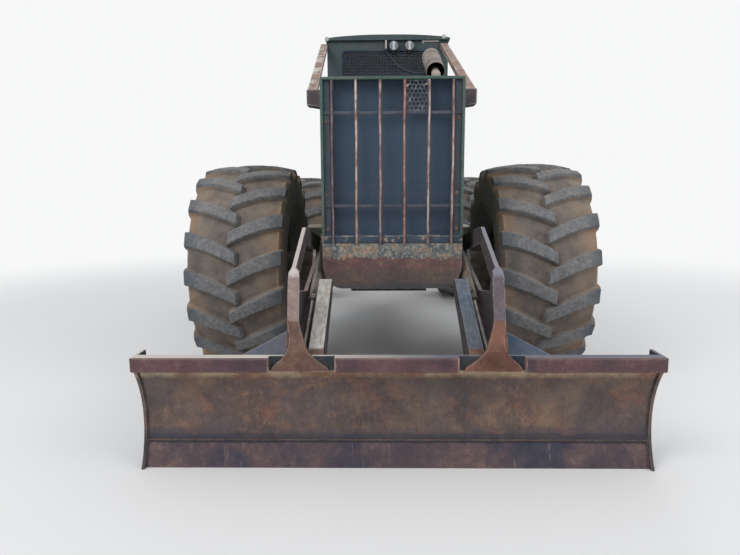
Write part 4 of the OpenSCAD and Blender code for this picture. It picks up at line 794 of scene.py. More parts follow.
def add_bar(bm, corner, other, bevel=0.0):
    """A box between two opposite corners, its edges rounded off."""
    low, high = (Vector([pick(pair) for pair in zip(corner, other)]) for pick in (min, max))
    matrix = Matrix.Translation((low + high) / 2) @ Matrix.Diagonal((*(high - low), 1))
    made = bmesh.ops.create_cube(bm, size=1.0, matrix=matrix)
    if bevel:
        edges = dict.fromkeys(edge for vert in made["verts"] for edge in vert.link_edges)
        bmesh.ops.bevel(bm, geom=list(edges), offset=bevel, segments=2, profile=0.6, affect="EDGES")


def circle(count, start=0.0):
    """Cosine and sine of each of count equal steps round a circle, turned ahead by a part of a step."""
    angles = [2 * math.pi * (step + start) / count for step in range(count)]
    return [(math.cos(angle), math.sin(angle)) for angle in angles]


def join_rings(bm, pairs):
    """Faces between the two rings of each pair. A ring of one point is a tip."""
    for first, second in pairs:
        count = max(len(first), len(second))
        for i in range(count):
            j = (i + 1) % count
            corners = [first[i % len(first)], first[j % len(first)], second[j % len(second)],
                       second[i % len(second)]]
            bm.faces.new(list(dict.fromkeys(corners)))


def add_turned(bm, profile, origin, axis, segments=32):
    """A turned shape: profile is a list of (distance along the axis, radius)."""
    turn = Vector(UP).rotation_difference(Vector(axis).normalized()).to_matrix().to_4x4()
    matrix = Matrix.Translation(origin) @ turn
    rings = []
    for along, radius in profile:
        points = circle(segments) if radius > TIP else [(0, 0)]
        rings.append([bm.verts.new(matrix @ Vector((radius * u, radius * v, along))) for u, v in points])
    join_rings(bm, zip(rings, rings[1:]))


def add_tube(bm, points, radius, segments=12, closed=False, radii=None):
    """A round tube along a list of points, with capped ends unless closed."""
    points = [Vector(p) for p in points]
    count = len(points)
    rings = []
    side = None
    for i, point in enumerate(points):
        before = points[i - 1] if (i or closed) else point
        after = points[(i + 1) % count] if (i < count - 1 or closed) else point
        ahead = (after - before).normalized()
        if side is None:
            side = ahead.cross(Vector((0.13, 0.27, 0.95))).normalized()
        side = (side - ahead * side.dot(ahead)).normalized()
        up = ahead.cross(side)
        r = radii[i] if radii else radius
        rings.append([bm.verts.new(point + (side * u + up * v) * r) for u, v in circle(segments)])
    join_rings(bm, zip(rings, rings[1:]))
    if closed:
        join_rings(bm, [(rings[-1], rings[0])])
    else:
        bm.faces.new(list(reversed(rings[0])))
        bm.faces.new(rings[-1])


def add_nut(bm, origin, axis, across, height):
    """A chamfered hexagonal head or nut with its washer."""
    washer = across * 0.66
    add_turned(bm, [(0, 0.0001), (0, washer), (height * 0.18, washer), (height * 0.18, 0.0001)], origin,
               axis, 16)
    r = across / math.sqrt(3)
    add_turned(bm, [(height * 0.18, 0.0001), (height * 0.18, r), (height * 0.92, r), (height, r * 0.84),
                    (height, 0)], origin, axis, 6)


def smooth_path(points, steps):
    """A smooth line through points, with steps parts between each two."""
    points = [Vector(p) for p in points]
    ends = [points[0] * 2 - points[1], *points, points[-1] * 2 - points[-2]]
    line = []
    for a, b, c, d in zip(ends, ends[1:], ends[2:], ends[3:]):
        for k in range(steps):
            t = k / steps
            line.append(0.5 * (2 * b + (c - a) * t + (2 * a - 5 * b + 4 * c - d) * t * t
                               + (3 * b - a - 3 * c + d) * t ** 3))
    return [*line, points[-1]]


def add_weld(bm, points, radius):
    """A weld bead: a lumpy tube along a line of points."""
    points = [Vector(p) for p in points]
    line = [points[0]]
    for first, second in zip(points, points[1:]):
        parts = max(1, round((second - first).length / 0.012))
        line += [first.lerp(second, (k + 1) / parts) for k in range(parts)]
    add_tube(bm, line, radius, 6, radii=[radius * random.uniform(0.72, 1.15) for _ in line])


def add_holed_cell(bm, low, high, centre, radius, near, far):
    """A cell of a perforated plate: its rim, its round hole and both faces, across Y."""
    hole, rim = [], []
    for across, up in circle(16, 0.5):
        hole.append((centre[0] + radius * across, centre[1] + radius * up))
        reach = min(((high[0] if across > 0 else low[0]) - centre[0]) / across,
                    ((high[1] if up > 0 else low[1]) - centre[1]) / up)
        rim.append((centre[0] + reach * across, centre[1] + reach * up))
    rings = [[bm.verts.new((u, y, v)) for u, v in loop] for y in (near, far) for loop in (hole, rim)]
    join_rings(bm, [(rings[a], rings[b]) for a, b in ((0, 1), (2, 3), (0, 2), (1, 3))])


# Tyres: a carcass with raised chevron lugs, one mesh for all four wheels

LUGS = 18
LUG_HEIGHT = 0.050
LUG_HALF = 0.046
LUG_SLOPE = 0.020
LUG_OVERLAP = 0.055
LUG_SWEEP = 0.205
AROUND = 648


def tyre_profile():
    """Points (radius, x) from the inner bead over the crown to the outer bead, without lugs."""
    bead, crown = 0.410, TYRE_R - LUG_HEIGHT
    side = [(bead, 0.262), (bead + 0.006, 0.278), (bead + 0.018, 0.288), (0.440, 0.292), (0.452, 0.300),
            (0.462, 0.318), (0.474, 0.326), (0.486, 0.326), (0.494, 0.334), (0.520, 0.351), (0.550, 0.365),
            (0.580, 0.3745), (0.588, 0.3805), (0.602, 0.3815), (0.610, 0.3790), (0.650, 0.384),
            (0.690, 0.386), (0.740, 0.3845), (0.785, 0.379), (0.815, 0.370), (0.838, 0.352)]
    tread = [(crown - 0.035 * abs(x / 0.33) ** 2.6, x) for x in np.linspace(0.334, 0.0, 27)]
    half = [*side, *tread]
    return [(r, -x) for r, x in half[:-1]] + [(r, x) for r, x in reversed(half)]


def smooth_step(value):
    value = np.clip(value, 0.0, 1.0)
    return value * value * (3 - 2 * value)


def lug_mask(x, r, angle):
    """How high the lugs stand at each point, 0 to 1."""
    total = np.zeros_like(angle)
    for side in (-1.0, 1.0):
        out = x * side
        reach = np.clip((out + LUG_OVERLAP) / (TYRE_HALF + LUG_OVERLAP), 0.0, 1.25)
        sweep = LUG_SWEEP * (1 - (1 - np.clip(reach, 0, 1)) ** 1.35)
        pitch = 2 * math.pi / LUGS
        offset = 0.0 if side > 0 else pitch / 2
        around = (angle - offset - sweep + pitch / 2) % pitch - pitch / 2
        wide = LUG_HALF * (0.92 + 0.25 * reach)
        across = np.abs(around) * np.maximum(r, 0.7)
        flank = smooth_step((wide + LUG_SLOPE - across) / LUG_SLOPE)
        root = smooth_step((out + LUG_OVERLAP) / 0.030)
        wall = smooth_step((r - 0.725) / 0.085)
        total = np.maximum(total, flank * root * np.where((out > 0.30) | (r < 0.70), wall, 1.0))
    return total


def tyre_mesh():
    profile = np.array(tyre_profile())
    tangent = np.gradient(profile, axis=0)
    normal = np.stack([tangent[:, 1], -tangent[:, 0]], axis=1)
    normal /= np.linalg.norm(normal, axis=1)[:, None]
    angles = np.linspace(0, 2 * math.pi, AROUND, endpoint=False)
    x = np.repeat(profile[None, :, 1], AROUND, 0)
    r = np.repeat(profile[None, :, 0], AROUND, 0)
    angle = np.repeat(angles[:, None], len(profile), 1)
    lift = lug_mask(x, r, angle) * LUG_HEIGHT
    wobble = 0.0022 * np.sin(angle * 23 + x * 31) * np.sin(angle * 9 - x * 17) * (lift > 0.01)
    lift = np.maximum(lift + wobble, 0)
    new_r = np.minimum(r + normal[None, :, 0] * lift, TYRE_R - 0.0005)
    new_x = np.clip(x + normal[None, :, 1] * lift, -TYRE_HALF + 0.0005, TYRE_HALF - 0.0005)
    points = np.stack([new_x, -new_r * np.cos(angle), new_r * np.sin(angle)], axis=2).reshape(-1, 3)
    across = len(profile)
    i, j = np.meshgrid(np.arange(AROUND), np.arange(across - 1), indexing="ij")
    k = (i + 1) % AROUND
    faces = np.stack([i * across + j, i * across + j + 1, k * across + j + 1, k * across + j],
                     axis=2).reshape(-1, 4)
    inner = np.stack([np.arange(AROUND) * across, ((np.arange(AROUND) + 1) % AROUND) * across,
                      ((np.arange(AROUND) + 1) % AROUND) * across + across - 1,
                      np.arange(AROUND) * across + across - 1], axis=1)
    mesh = bpy.data.meshes.new("tread_lugs")
    mesh.from_pydata(points.tolist(), [], np.concatenate([faces, inner]).tolist())
    mesh.update()
    return mesh


def make_tyres():
    mesh = tyre_mesh()
    mesh.materials.append(MATERIALS["tread"])
    for wheel, (x, y) in WHEELS.items():
        made = piece("tyre_tread_" + wheel, mesh, "wheel_" + wheel, "tread", True,
                     (x, y, HUB_Z))
        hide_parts("tyre_" + wheel)


make_tyres()


# Nuts on each rim's disc and on its hub

NUT_CIRCLES = [
    # how many, part of a step they are turned by, circle's radius, how far out they sit, width, height
    (20, 0.0, 0.245, -0.041, 0.036, 0.030),
    (12, 0.5, 0.125, 0.073, 0.024, 0.018),
]


def make_wheel_nuts():
    for wheel, (x, y) in WHEELS.items():
        out = 1 if x > 0 else -1
        bm = bmesh.new()
        for count, start, radius, seat, width, height in NUT_CIRCLES:
            for u, v in circle(count, start):
                add_nut(bm, (x + out * seat, y + radius * u, HUB_Z + radius * v), (out, 0, 0), width, height)
        piece("wheel_nuts_" + wheel, bm, "wheel_" + wheel, "rusty_bolt")


make_wheel_nuts()


# Grille: folded frame with its flange, worn round bars, dim cross rails and a perforated patch

GRILLE_EDGE = 0.020
FLANGE_IN = 0.446
BAR_RADIUS = 0.010
RAIL_HEIGHTS = (1.500, 2.155)
PATCH_LOW, PATCH_HIGH = (0.086, 2.164), (0.258, 2.379)
FLANGE_BOLTS = [(-0.475, 1.583), (-0.470, 2.087), (0.468, 2.115), (0.468, 1.594), (-0.470, 1.335),
                (0.468, 1.335)]
# How far behind the grille's front the flange's front is
FLANGE_BACK = 0.031


def make_grille_frame():
    low, high = GRILLE_LOW, GRILLE_HIGH
    bm = bmesh.new()
    inside = high.x - GRILLE_EDGE
    for side in (-1, 1):
        add_bar(bm, (side * high.x, low.y, HOOD_LOW.z), (side * inside, high.y, high.z), 0.005)
    add_bar(bm, (low.x + GRILLE_EDGE, low.y, high.z - GRILLE_EDGE), (inside, high.y, high.z), 0.005)
    frame_piece = piece("grille_frame", bm, "front_frame", "green_edge", False)
    bm = bmesh.new()
    for side in (-1, 1):
        add_bar(bm, (side * inside, low.y + FLANGE_BACK, HOOD_LOW.z),
                (side * FLANGE_IN, low.y + FLANGE_BACK + 0.008, high.z - GRILLE_EDGE), 0.002)
    piece("grille_flange", bm, "front_frame", "flange", False)
    bm = bmesh.new()
    for x, z in FLANGE_BOLTS:
        add_turned(bm, [(0, 0.0001), (0, 0.013), (0.003, 0.013), (0.003, 0.009), (0.008, 0.007), (0.009, 0)],
                   (x, low.y + FLANGE_BACK, z), AHEAD, 16)
    piece("grille_bolts", bm, "front_frame", "rusty_bolt")
    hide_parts("grille")


def make_grille_bars():
    low, high = GRILLE_LOW, GRILLE_HIGH
    bm = bmesh.new()
    for i, x in enumerate(BARS):
        points = []
        for z in np.linspace(low.z, high.z - GRILLE_EDGE, 40):
            sway = 0.0016 * math.sin(6.3 * z + i * 1.7) + 0.0008 * math.sin(z * 19 + i)
            points.append((x + sway, low.y + 0.012 + 0.001 * math.sin(z * 9 + i * 2.3), z))
        radii = [BAR_RADIUS * random.uniform(0.94, 1.04) for _ in points]
        add_tube(bm, points, BAR_RADIUS, 12, radii=radii)
    piece("grille_bars", bm, "front_frame", "bars")
    bm = bmesh.new()
    for z in RAIL_HEIGHTS:
        add_bar(bm, (low.x + GRILLE_EDGE, low.y + 0.020, z - 0.010),
                (high.x - GRILLE_EDGE, low.y + 0.032, z + 0.010), 0.003)
    for x, z in [(x, z) for x in BARS for z in RAIL_HEIGHTS]:
        add_weld(bm, [(x - 0.012, low.y + 0.019, z + 0.009), (x + 0.012, low.y + 0.019, z + 0.009)], 0.003)
    piece("grille_rails", bm, "front_frame", "rail", False)


def make_patch():
    """Plate with staggered round holes: each hole sits in its own cell of the plate."""
    y, thick, hole, pitch = GRILLE_LOW.y + 0.020, 0.005, 0.0105, 0.029
    rows, columns = 7, 5
    bm = bmesh.new()
    for row in range(rows):
        shift = pitch / 2 * (row % 2)
        z = PATCH_LOW[1] + 0.020 + row * pitch
        z_low = PATCH_LOW[1] if row == 0 else z - pitch / 2
        z_high = PATCH_HIGH[1] if row == rows - 1 else z + pitch / 2
        for column in range(columns):
            x = PATCH_LOW[0] + 0.022 + shift + column * pitch
            x_low = PATCH_LOW[0] if column == 0 else x - pitch / 2
            x_high = PATCH_HIGH[0] if column == columns - 1 else x + pitch / 2
            add_holed_cell(bm, (x_low, z_low), (x_high, z_high), (x, z), hole, y, y + thick)
    bmesh.ops.remove_doubles(bm, verts=bm.verts, dist=0.00002)
    piece("grille_patch", bm, "front_frame", "patch", False)


make_grille_frame()
make_grille_bars()
make_patch()


# Weld beads on the blade

# The blade's face is part of a circle across X
CURVE_Y, CURVE_Z, CURVE_R = BLADE_LOW.y - 0.418, 0.283, 0.567
EDGE_TOP_Z = 0.150
PLATE_HALF = BLADE_HIGH.x - 0.016
RIB_PLACES = (0.22, 1.0, 1.25)


def face_y(z):
    """How far back the blade's face is at a height."""
    if z < EDGE_TOP_Z:
        return face_y(EDGE_TOP_Z) - 0.048 * (EDGE_TOP_Z - z) / EDGE_TOP_Z
    return CURVE_Y + math.sqrt(CURVE_R ** 2 - (z - CURVE_Z) ** 2)


def make_blade_welds():
    bm = bmesh.new()
    y = face_y(EDGE_TOP_Z) - 0.002
    add_weld(bm, [(-PLATE_HALF, y, EDGE_TOP_Z + 0.002), (PLATE_HALF, y, EDGE_TOP_Z + 0.002)], 0.007)
    for side in (-1, 1):
        add_weld(bm, [(side * (PLATE_HALF - 0.003), face_y(z) - 0.003, z)
                      for z in np.linspace(0.01, 0.60, 30)], 0.006)
        for x in RIB_PLACES:
            for step in (-0.010, 0.010):
                add_weld(bm, [(side * x + step, face_y(z) + 0.021, z) for z in np.linspace(0.24, 0.52, 8)],
                         0.004)
    piece("blade_welds", bm, "blade", "weld")


make_blade_welds()


# Glazing: seals, guard screens and the doors' own glass

ROUND, ROUND_STEPS = 0.060, 6
SEAL_EDGE = 0.004
SCREEN_RIM = 0.014
WINDOWS = [
    # name, body, axis across the pane, place on it, low corner, high corner, way out, depth of the glass
    ("front", "front_frame", "y", CAB_LOW.y, (-0.5, 2.490), (0.5, 3.125), -1, 0.027),
    ("rear", "front_frame", "y", CAB_LOW.y + 1.2, (-0.5, 2.010), (0.5, 3.125), 1, 0.027),
    ("left", "door_left_body", "x", -CAB_HALF, (-0.1885, 2.136), (0.4195, 3.034), -1, 0.020),
    ("right", "door_right_body", "x", CAB_HALF, (-0.1885, 2.136), (0.4195, 3.034), 1, 0.020),
]


def round_loop(low, high, radius):
    """Points round a rectangle with round corners."""
    loop = []
    for corner in range(4):
        u = high[0] - radius if corner in (0, 3) else low[0] + radius
        v = high[1] - radius if corner in (0, 1) else low[1] + radius
        for k in range(ROUND_STEPS + 1):
            angle = math.pi / 2 * (corner + k / ROUND_STEPS)
            loop.append((u + radius * math.cos(angle), v + radius * math.sin(angle)))
    return loop


def window_spot(axis, place, u, v):
    return (u, place, v) if axis == "y" else (place, u, v)


def add_band(bm, axis, outer, inner, near, far):
    """A flat ring, or a plate where inner is None, between two planes across an axis."""
    rings = []
    for place in (near, far):
        rings.append([bm.verts.new(window_spot(axis, place, u, v)) for u, v in outer])
        if inner:
            rings.append([bm.verts.new(window_spot(axis, place, u, v)) for u, v in inner])
    if inner:
        join_rings(bm, [(rings[a], rings[b]) for a, b in ((0, 1), (1, 3), (3, 2), (2, 0))])
        return
    bm.faces.new(rings[0])
    bm.faces.new(rings[1])
    join_rings(bm, [rings])


def wire_reach(low, high, u):
    """How far a wire at u has to stop short of the ends, at the round corners."""
    near = min(u - low, high - u)
    return ROUND - math.sqrt(max(ROUND ** 2 - (ROUND - near) ** 2, 0)) if near < ROUND else 0.0


def make_window(name, body, axis, place, low, high, facing, deep):
    glass_at = place - facing * deep
    loop = round_loop(low, high, ROUND)
    inset = round_loop([end + SCREEN_RIM for end in low], [end - SCREEN_RIM for end in high],
                       ROUND - SCREEN_RIM)
    bm = bmesh.new()
    seam = round_loop([end + SEAL_EDGE for end in low], [end - SEAL_EDGE for end in high], ROUND)
    for out in (0.006, -0.012):
        spots = [window_spot(axis, glass_at + facing * out, u, v) for u, v in seam]
        add_tube(bm, spots, 0.0075, 8, closed=True)
    piece("window_seal_" + name, bm, body, "rubber")
    bm = bmesh.new()
    wire_at = place - facing * 0.009
    add_band(bm, axis, loop, inset, wire_at - facing * 0.003, wire_at + facing * 0.003)
    pitch, wire = 0.030, 0.0018
    for way, out in ((0, 0.0015), (1, -0.0015)):
        across = high[way] - low[way]
        count = int(across / pitch)
        for i in range(1, count):
            at = low[way] + across * i / count
            short = wire_reach(low[way], high[way], at) + SEAL_EDGE
            ends = (low[1 - way] + short, high[1 - way] - short)
            spots = [(end, at) if way else (at, end) for end in ends]
            add_tube(bm, [window_spot(axis, wire_at + facing * out, *spot) for spot in spots], wire, 6)
    piece("window_screen_" + name, bm, body, "screen")
    if body != "front_frame":
        bm = bmesh.new()
        add_band(bm, axis, loop, None, glass_at, glass_at - facing * 0.006)
        piece("door_glass_" + name, bm, body, "glass", False)


for window in WINDOWS:
    make_window(*window)


# Cab fittings: door handles, handrails, a strip, lifting bolts and the steps' grip studs


# A handrail's place along the cab, and the heights of its two feet
HANDRAILS = [(0.640, 1.52, 2.55), (-0.355, 1.52, 2.30)]
ROOF_BOLTS = [(-0.648, 3.227), (0.598, 3.242)]
TREAD_HEIGHTS = (0.589, 0.889)


def make_cab_fittings():
    for side, body in ((-1, "door_left_body"), (1, "door_right_body")):
        bm = bmesh.new()
        x, y, z = side * CAB_HALF, 0.445, 1.98
        add_turned(bm, [(0, 0.0001), (0, 0.030), (0.006, 0.028), (0.008, 0.014), (0.018, 0.013), (0.020, 0)],
                   (x, y, z + 0.10), (side, 0, 0), 24)
        grip = [(x, y, z - 0.09), (x + side * 0.034, y, z - 0.085), (x + side * 0.044, y, z - 0.060),
                (x + side * 0.044, y, z + 0.035), (x + side * 0.034, y, z + 0.060), (x, y, z + 0.065)]
        add_tube(bm, smooth_path(grip, 5), 0.009, 12)
        piece("door_handle_" + ("left" if side < 0 else "right"), bm, body, "iron_dark")
    bm = bmesh.new()
    for side in (-1, 1):
        for y, foot, head in HANDRAILS:
            x = side * (CAB_HALF - 0.002)
            out = x + side * 0.062
            rail = [(x, y, foot), (x + side * 0.045, y, foot), (out, y, foot + 0.03),
                    (out, y, (foot + head) / 2), (out, y, head - 0.03), (x + side * 0.045, y, head),
                    (x, y, head)]
            add_tube(bm, smooth_path(rail, 5), 0.013, 12)
            for z in (foot, head):
                add_turned(bm, [(0, 0.0001), (0, 0.032), (0.005, 0.031), (0.007, 0.014)], (x, y, z),
                           (side, 0, 0), 20)
    piece("handrails", bm, "front_frame", "green_dark_painted_shade")
    bm = bmesh.new()
    front = CAB_LOW.y
    add_bar(bm, (0.369, front - 0.014, 3.198), (0.550, front + 0.002, 3.221), 0.003)
    add_bar(bm, (0.369, front - 0.005, 3.188), (0.392, front + 0.002, 3.200), 0.002)
    add_bar(bm, (-0.026, front - 0.046, 3.128), (-0.008, front + 0.002, 3.212), 0.004)
    for x, z in ROOF_BOLTS:
        add_turned(bm, [(0, 0.0001), (0, 0.024), (0.005, 0.024), (0.014, 0.017), (0.018, 0)],
                   (x, ROOF_LOW.y + 0.002, z), AHEAD, 20)
    piece("cab_brackets", bm, "front_frame", "pale_steel")
    bm = bmesh.new()
    for side, z, i, j in product((-1, 1), TREAD_HEIGHTS, range(6), range(9)):
        spot = (side * (0.775 + i * 0.046), -0.363 + j * 0.041, z)
        add_turned(bm, [(0, 0.010), (0.005, 0.007), (0.005, 0)], spot, UP, 8)
    piece("step_studs", bm, "front_frame", "frame")


def make_wire():
    """Loose lamp wire that hangs across the cab's front, from the small bracket to a grommet."""
    front = CAB_LOW.y - 0.007
    path = smooth_path([(-0.017, front + 0.007, 3.122), (-0.017, front - 0.006, 3.108),
                        (-0.004, front - 0.004, 3.086), (0.022, front, 3.052), (0.059, front, 3.014),
                        (0.100, front, 2.974), (0.150, front, 2.936), (0.215, front, 2.907),
                        (0.285, front, 2.889), (0.345, front, 2.881), (0.392, front - 0.001, 2.880),
                        (0.412, front + 0.001, 2.8795), (0.424, front + 0.007, 2.879)], 3)
    bm = bmesh.new()
    add_tube(bm, path, 0.003, 8)
    wire = piece("lamp_wire", bm, "front_frame", "wire")


make_cab_fittings()
make_wire()


# Work lamps: bowls with their bezels, and ribbed lenses


def make_lamps():
    back = CAB_LOW.y
    bowls, lenses = bmesh.new(), bmesh.new()
    for x, z in LAMPS:
        add_turned(bowls, [(0, 0.0001), (0, 0.026), (0.010, 0.033), (0.022, 0.041), (0.036, 0.0465),
                           (0.048, 0.048), (0.049, 0.050), (0.061, 0.050), (0.062, 0.049), (0.062, 0.0455),
                           (0.057, 0.0450)], (x, back, z), AHEAD, 40)
        add_bar(bowls, (x - 0.011, back - 0.030, z - 0.062), (x + 0.011, back - 0.004, z - 0.045), 0.003)
        add_nut(bowls, (x, back - 0.017, z - 0.062), (0, 0, -1), 0.014, 0.008)
        add_turned(lenses, [(0.0565, 0.0452), (0.0585, 0.038), (0.0600, 0.026), (0.0607, 0.012),
                            (0.0610, 0)], (x, back, z), AHEAD, 40)
    bowl_piece = piece("lamp_bowls", bowls, "front_frame", "iron_dark")
    piece("lamp_lenses", lenses, "front_frame", "lens")
    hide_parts("work_lamps")


make_lamps()


# Hood fittings: door hinges and latches, filler cap, and the muffler's straps

HINGE_Z = 2.254
HINGES_Y = (-2.30, -1.92, -1.54)
LATCHES_Y = (-2.20, -1.64)


def make_hood_fittings():
    bm = bmesh.new()
    for side in (-1, 1):
        x = side * (HOOD_HIGH.x - 0.001)
        leaf, pin = x + side * 0.004, x + side * 0.006
        for y in HINGES_Y:
            add_tube(bm, [(pin, y - 0.045, HINGE_Z), (pin, y + 0.045, HINGE_Z)], 0.008, 12)
            for z, screw_z in ((2.222, 2.222 + 0.010), (2.286, 2.286 - 0.010)):
                add_bar(bm, (x, y - 0.040, z), (leaf, y + 0.040, HINGE_Z), 0.001)
                for step in (-0.026, 0.026):
                    add_turned(bm, [(0, 0.006), (0.003, 0.004), (0.003, 0)], (leaf, y + step, screw_z),
                               (side, 0, 0), 10)
        for y in LATCHES_Y:
            add_bar(bm, (x, y - 0.030, 1.400), (pin, y + 0.030, 1.500), 0.002)
            handle = [(pin, y, 1.482), (x + side * 0.022, y, 1.478), (x + side * 0.026, y, 1.455),
                      (x + side * 0.020, y, 1.425)]
            add_tube(bm, smooth_path(handle, 4), 0.007, 10)
    piece("hood_latches", bm, "front_frame", "green_worn")
    bm = bmesh.new()
    add_turned(bm, [(0, 0.050), (0.010, 0.050), (0.012, 0.044), (0.026, 0.043), (0.031, 0.038), (0.032, 0)],
               (-0.17, -2.30, HOOD_HIGH.z - 0.001), UP, 32)
    piece("filler_cap", bm, "front_frame", "iron_dark")


def make_muffler_straps():
    ahead = (DRUM_HIGH - DRUM_LOW).normalized()
    bm = bmesh.new()
    for share in (0.22, 0.80):
        spot = DRUM_LOW + (DRUM_HIGH - DRUM_LOW) * share
        add_turned(bm, [(-0.012, DRUM_R - 0.001), (-0.012, DRUM_R + 0.003), (0.012, DRUM_R + 0.003),
                        (0.012, DRUM_R - 0.001)], spot, ahead, 40)
        foot = spot - Vector((0, 0, DRUM_R + 0.002))
        for step in (-0.030, 0.022):
            add_bar(bm, (foot.x + step, foot.y - 0.025, HOOD_HIGH.z),
                    (foot.x + step + 0.008, foot.y + 0.025, foot.z + 0.018), 0.002)
        add_bar(bm, (foot.x - 0.050, foot.y - 0.040, HOOD_HIGH.z),
                (foot.x + 0.050, foot.y + 0.040, HOOD_HIGH.z + 0.006), 0.001)
    add_turned(bm, [(0, 0.036), (0, 0.062), (0.008, 0.062), (0.010, 0.040), (0.040, 0.038), (0.040, 0.0345)],
               (DRUM_LOW.x, -1.816, HOOD_HIGH.z), UP, 32)
    piece("muffler_straps", bm, "front_frame", "muffler")


make_hood_fittings()
make_muffler_straps()


# Cylinders: gland nut, port bosses and a rigid pipe with its clamps along each barrel

CYLINDERS = [
    # name, body, base, eye, barrel length, barrel radius, side the pipe is on
    ("blade_left", "blade_barrels", (-0.553, -2.0305, 1.215), (-0.553, -3.5155, 0.620), 0.98, 0.035, UP),
    ("blade_right", "blade_barrels", (0.553, -2.0305, 1.215), (0.553, -3.5155, 0.620), 0.98, 0.035, UP),
    ("steer_left", "steer_left_barrel", (-0.250, -0.812, 0.830), (-0.255, 0.368, 0.830), 0.88, 0.037, UP),
    ("steer_right", "steer_right_barrel", (0.250, -0.812, 0.830), (0.255, 0.368, 0.830), 0.88, 0.037, UP),
    ("arch_left", "arch_barrels", (-0.490, 1.4005, 1.230), (-0.490, 2.1405, 2.050), 0.95, 0.054, AHEAD),
    ("arch_right", "arch_barrels", (0.490, 1.4005, 1.230), (0.490, 2.1405, 2.050), 0.95, 0.054, AHEAD),
    ("boom", "boom_barrel_body", (0, 2.4505, 1.790), (0, 2.9505, 2.400), 0.56, 0.050, AHEAD),
]


def make_cylinder_pipes():
    for name, body, base, eye, length, radius, side in CYLINDERS:
        base, eye = Vector(base), Vector(eye)
        ahead = (eye - base).normalized()
        side = Vector(side)
        side = (side - ahead * side.dot(ahead)).normalized()
        bm = bmesh.new()
        add_turned(bm, [(length - 0.036, radius - 0.001), (length - 0.036, radius + 0.004),
                        (length - 0.006, radius + 0.004), (length + 0.001, radius - 0.002),
                        (length + 0.001, radius * 0.74)], base, ahead, 40)
        ports = (0.11, length - 0.075)
        for along in ports:
            add_turned(bm, [(radius - 0.004, 0.0001), (radius - 0.004, 0.013), (radius + 0.009, 0.012),
                            (radius + 0.010, 0)], base + ahead * along, side, 16)
        lift = radius + 0.017
        run = [(ports[0], radius + 0.005), (ports[0] + 0.004, lift), (ports[0] + 0.03, lift + 0.001),
               (length / 2, lift + 0.001), (ports[1] - 0.03, lift + 0.001), (ports[1] - 0.004, lift),
               (ports[1], radius + 0.005)]
        add_tube(bm, smooth_path([base + ahead * along + side * out for along, out in run], 4), 0.006, 10)
        for share in (0.35, 0.68):
            spot = base + ahead * (length * share)
            add_turned(bm, [(-0.006, radius - 0.0005), (-0.006, radius + 0.0015), (0.006, radius + 0.0015),
                            (0.006, radius - 0.0005)], spot, ahead, 32)
            add_turned(bm, [(radius, 0.008), (lift + 0.004, 0.008), (lift + 0.008, 0.005),
                            (lift + 0.008, 0)], spot, side, 10)
        piece("cylinder_fittings_" + name, bm, body, "barrel")


make_cylinder_pipes()


# Pin keepers, and two steel lines along the boom

KEEPERS = [
    # body, place of the pin's right end, radius
    ("front_frame", (0.642, -1.9305, 0.980), 0.035),
    ("rear_frame", (0.531, 2.3005, 1.330), 0.035),
    ("rear_frame", (0.536, 1.4005, 1.230), 0.025),
    ("arch_body", (0.160, 2.5205, 2.620), 0.035),
]


def make_keepers():
    made = {}
    for body, spot, radius in KEEPERS:
        bm = made.setdefault(body, bmesh.new())
        for side in (-1, 1):
            x, y, z = spot[0] * side, spot[1], spot[2]
            add_turned(bm, [(-0.002, 0.0001), (-0.002, radius + 0.006), (0.005, radius + 0.006),
                            (0.007, radius + 0.003), (0.007, 0)], (x, y, z), (side, 0, 0), 32)
            add_nut(bm, (x + side * 0.007, y, z), (side, 0, 0), 0.024, 0.013)
    for body, bm in made.items():
        piece("pin_keepers_" + body, bm, body, "iron_dark")


def make_boom_lines():
    bm = bmesh.new()
    top = [(2.5605, 2.712), (2.70, 2.7225), (2.85, 2.7328), (3.0005, 2.7430), (3.02, 2.7428), (3.20, 2.6408),
           (3.38, 2.5345)]
    for x in (-0.045, 0.045):
        add_tube(bm, smooth_path([(x, y, z + 0.012) for y, z in top], 3), 0.009, 10)
    for y, z in ((2.70, 2.7225), (2.94, 2.7389), (3.18, 2.6522)):
        add_bar(bm, (-0.070, y - 0.012, z - 0.006), (0.070, y + 0.012, z + 0.024), 0.003)
        for x in (-0.020, 0.020):
            add_nut(bm, (x, y, z + 0.024), UP, 0.012, 0.007)
    piece("boom_lines", bm, "boom_body", "iron_dark")


make_keepers()
make_boom_lines()


# Seat cushions and the driver's console


def pillow(low, high, radius):
    """A closed rounded box, ready for padding."""
    bm = bmesh.new()
    add_bar(bm, low, high)
    bmesh.ops.bevel(bm, geom=list(bm.edges), offset=radius, segments=4, profile=0.5, affect="EDGES")
    return mesh_from(bm, "pillow")


def padded_mesh(mesh, limit):
    """The mesh after a cloth inflates it, no point moved by more than limit."""
    made = put("padding", mesh)
    bpy.context.view_layer.objects.active = made
    remesh = made.modifiers.new("remesh", "REMESH")
    remesh.mode = "VOXEL"
    remesh.voxel_size = 0.012
    bpy.ops.object.modifier_apply(modifier="remesh")
    before = [vertex.co.copy() for vertex in made.data.vertices]
    cloth = made.modifiers.new("cloth", "CLOTH")
    cloth.settings.use_pressure = True
    cloth.settings.uniform_pressure_force = 4.0
    cloth.settings.effector_weights.gravity = 0.0
    for step in range(1, 16):
        bpy.context.scene.frame_set(step)
    bpy.ops.object.modifier_apply(modifier="cloth")
    bpy.context.scene.frame_set(1)
    for vertex, start in zip(made.data.vertices, before):
        moved = vertex.co - start
        if moved.length > limit:
            vertex.co = start + moved * (limit / moved.length)
    result = made.data.copy()
    bpy.data.objects.remove(made)
    return result


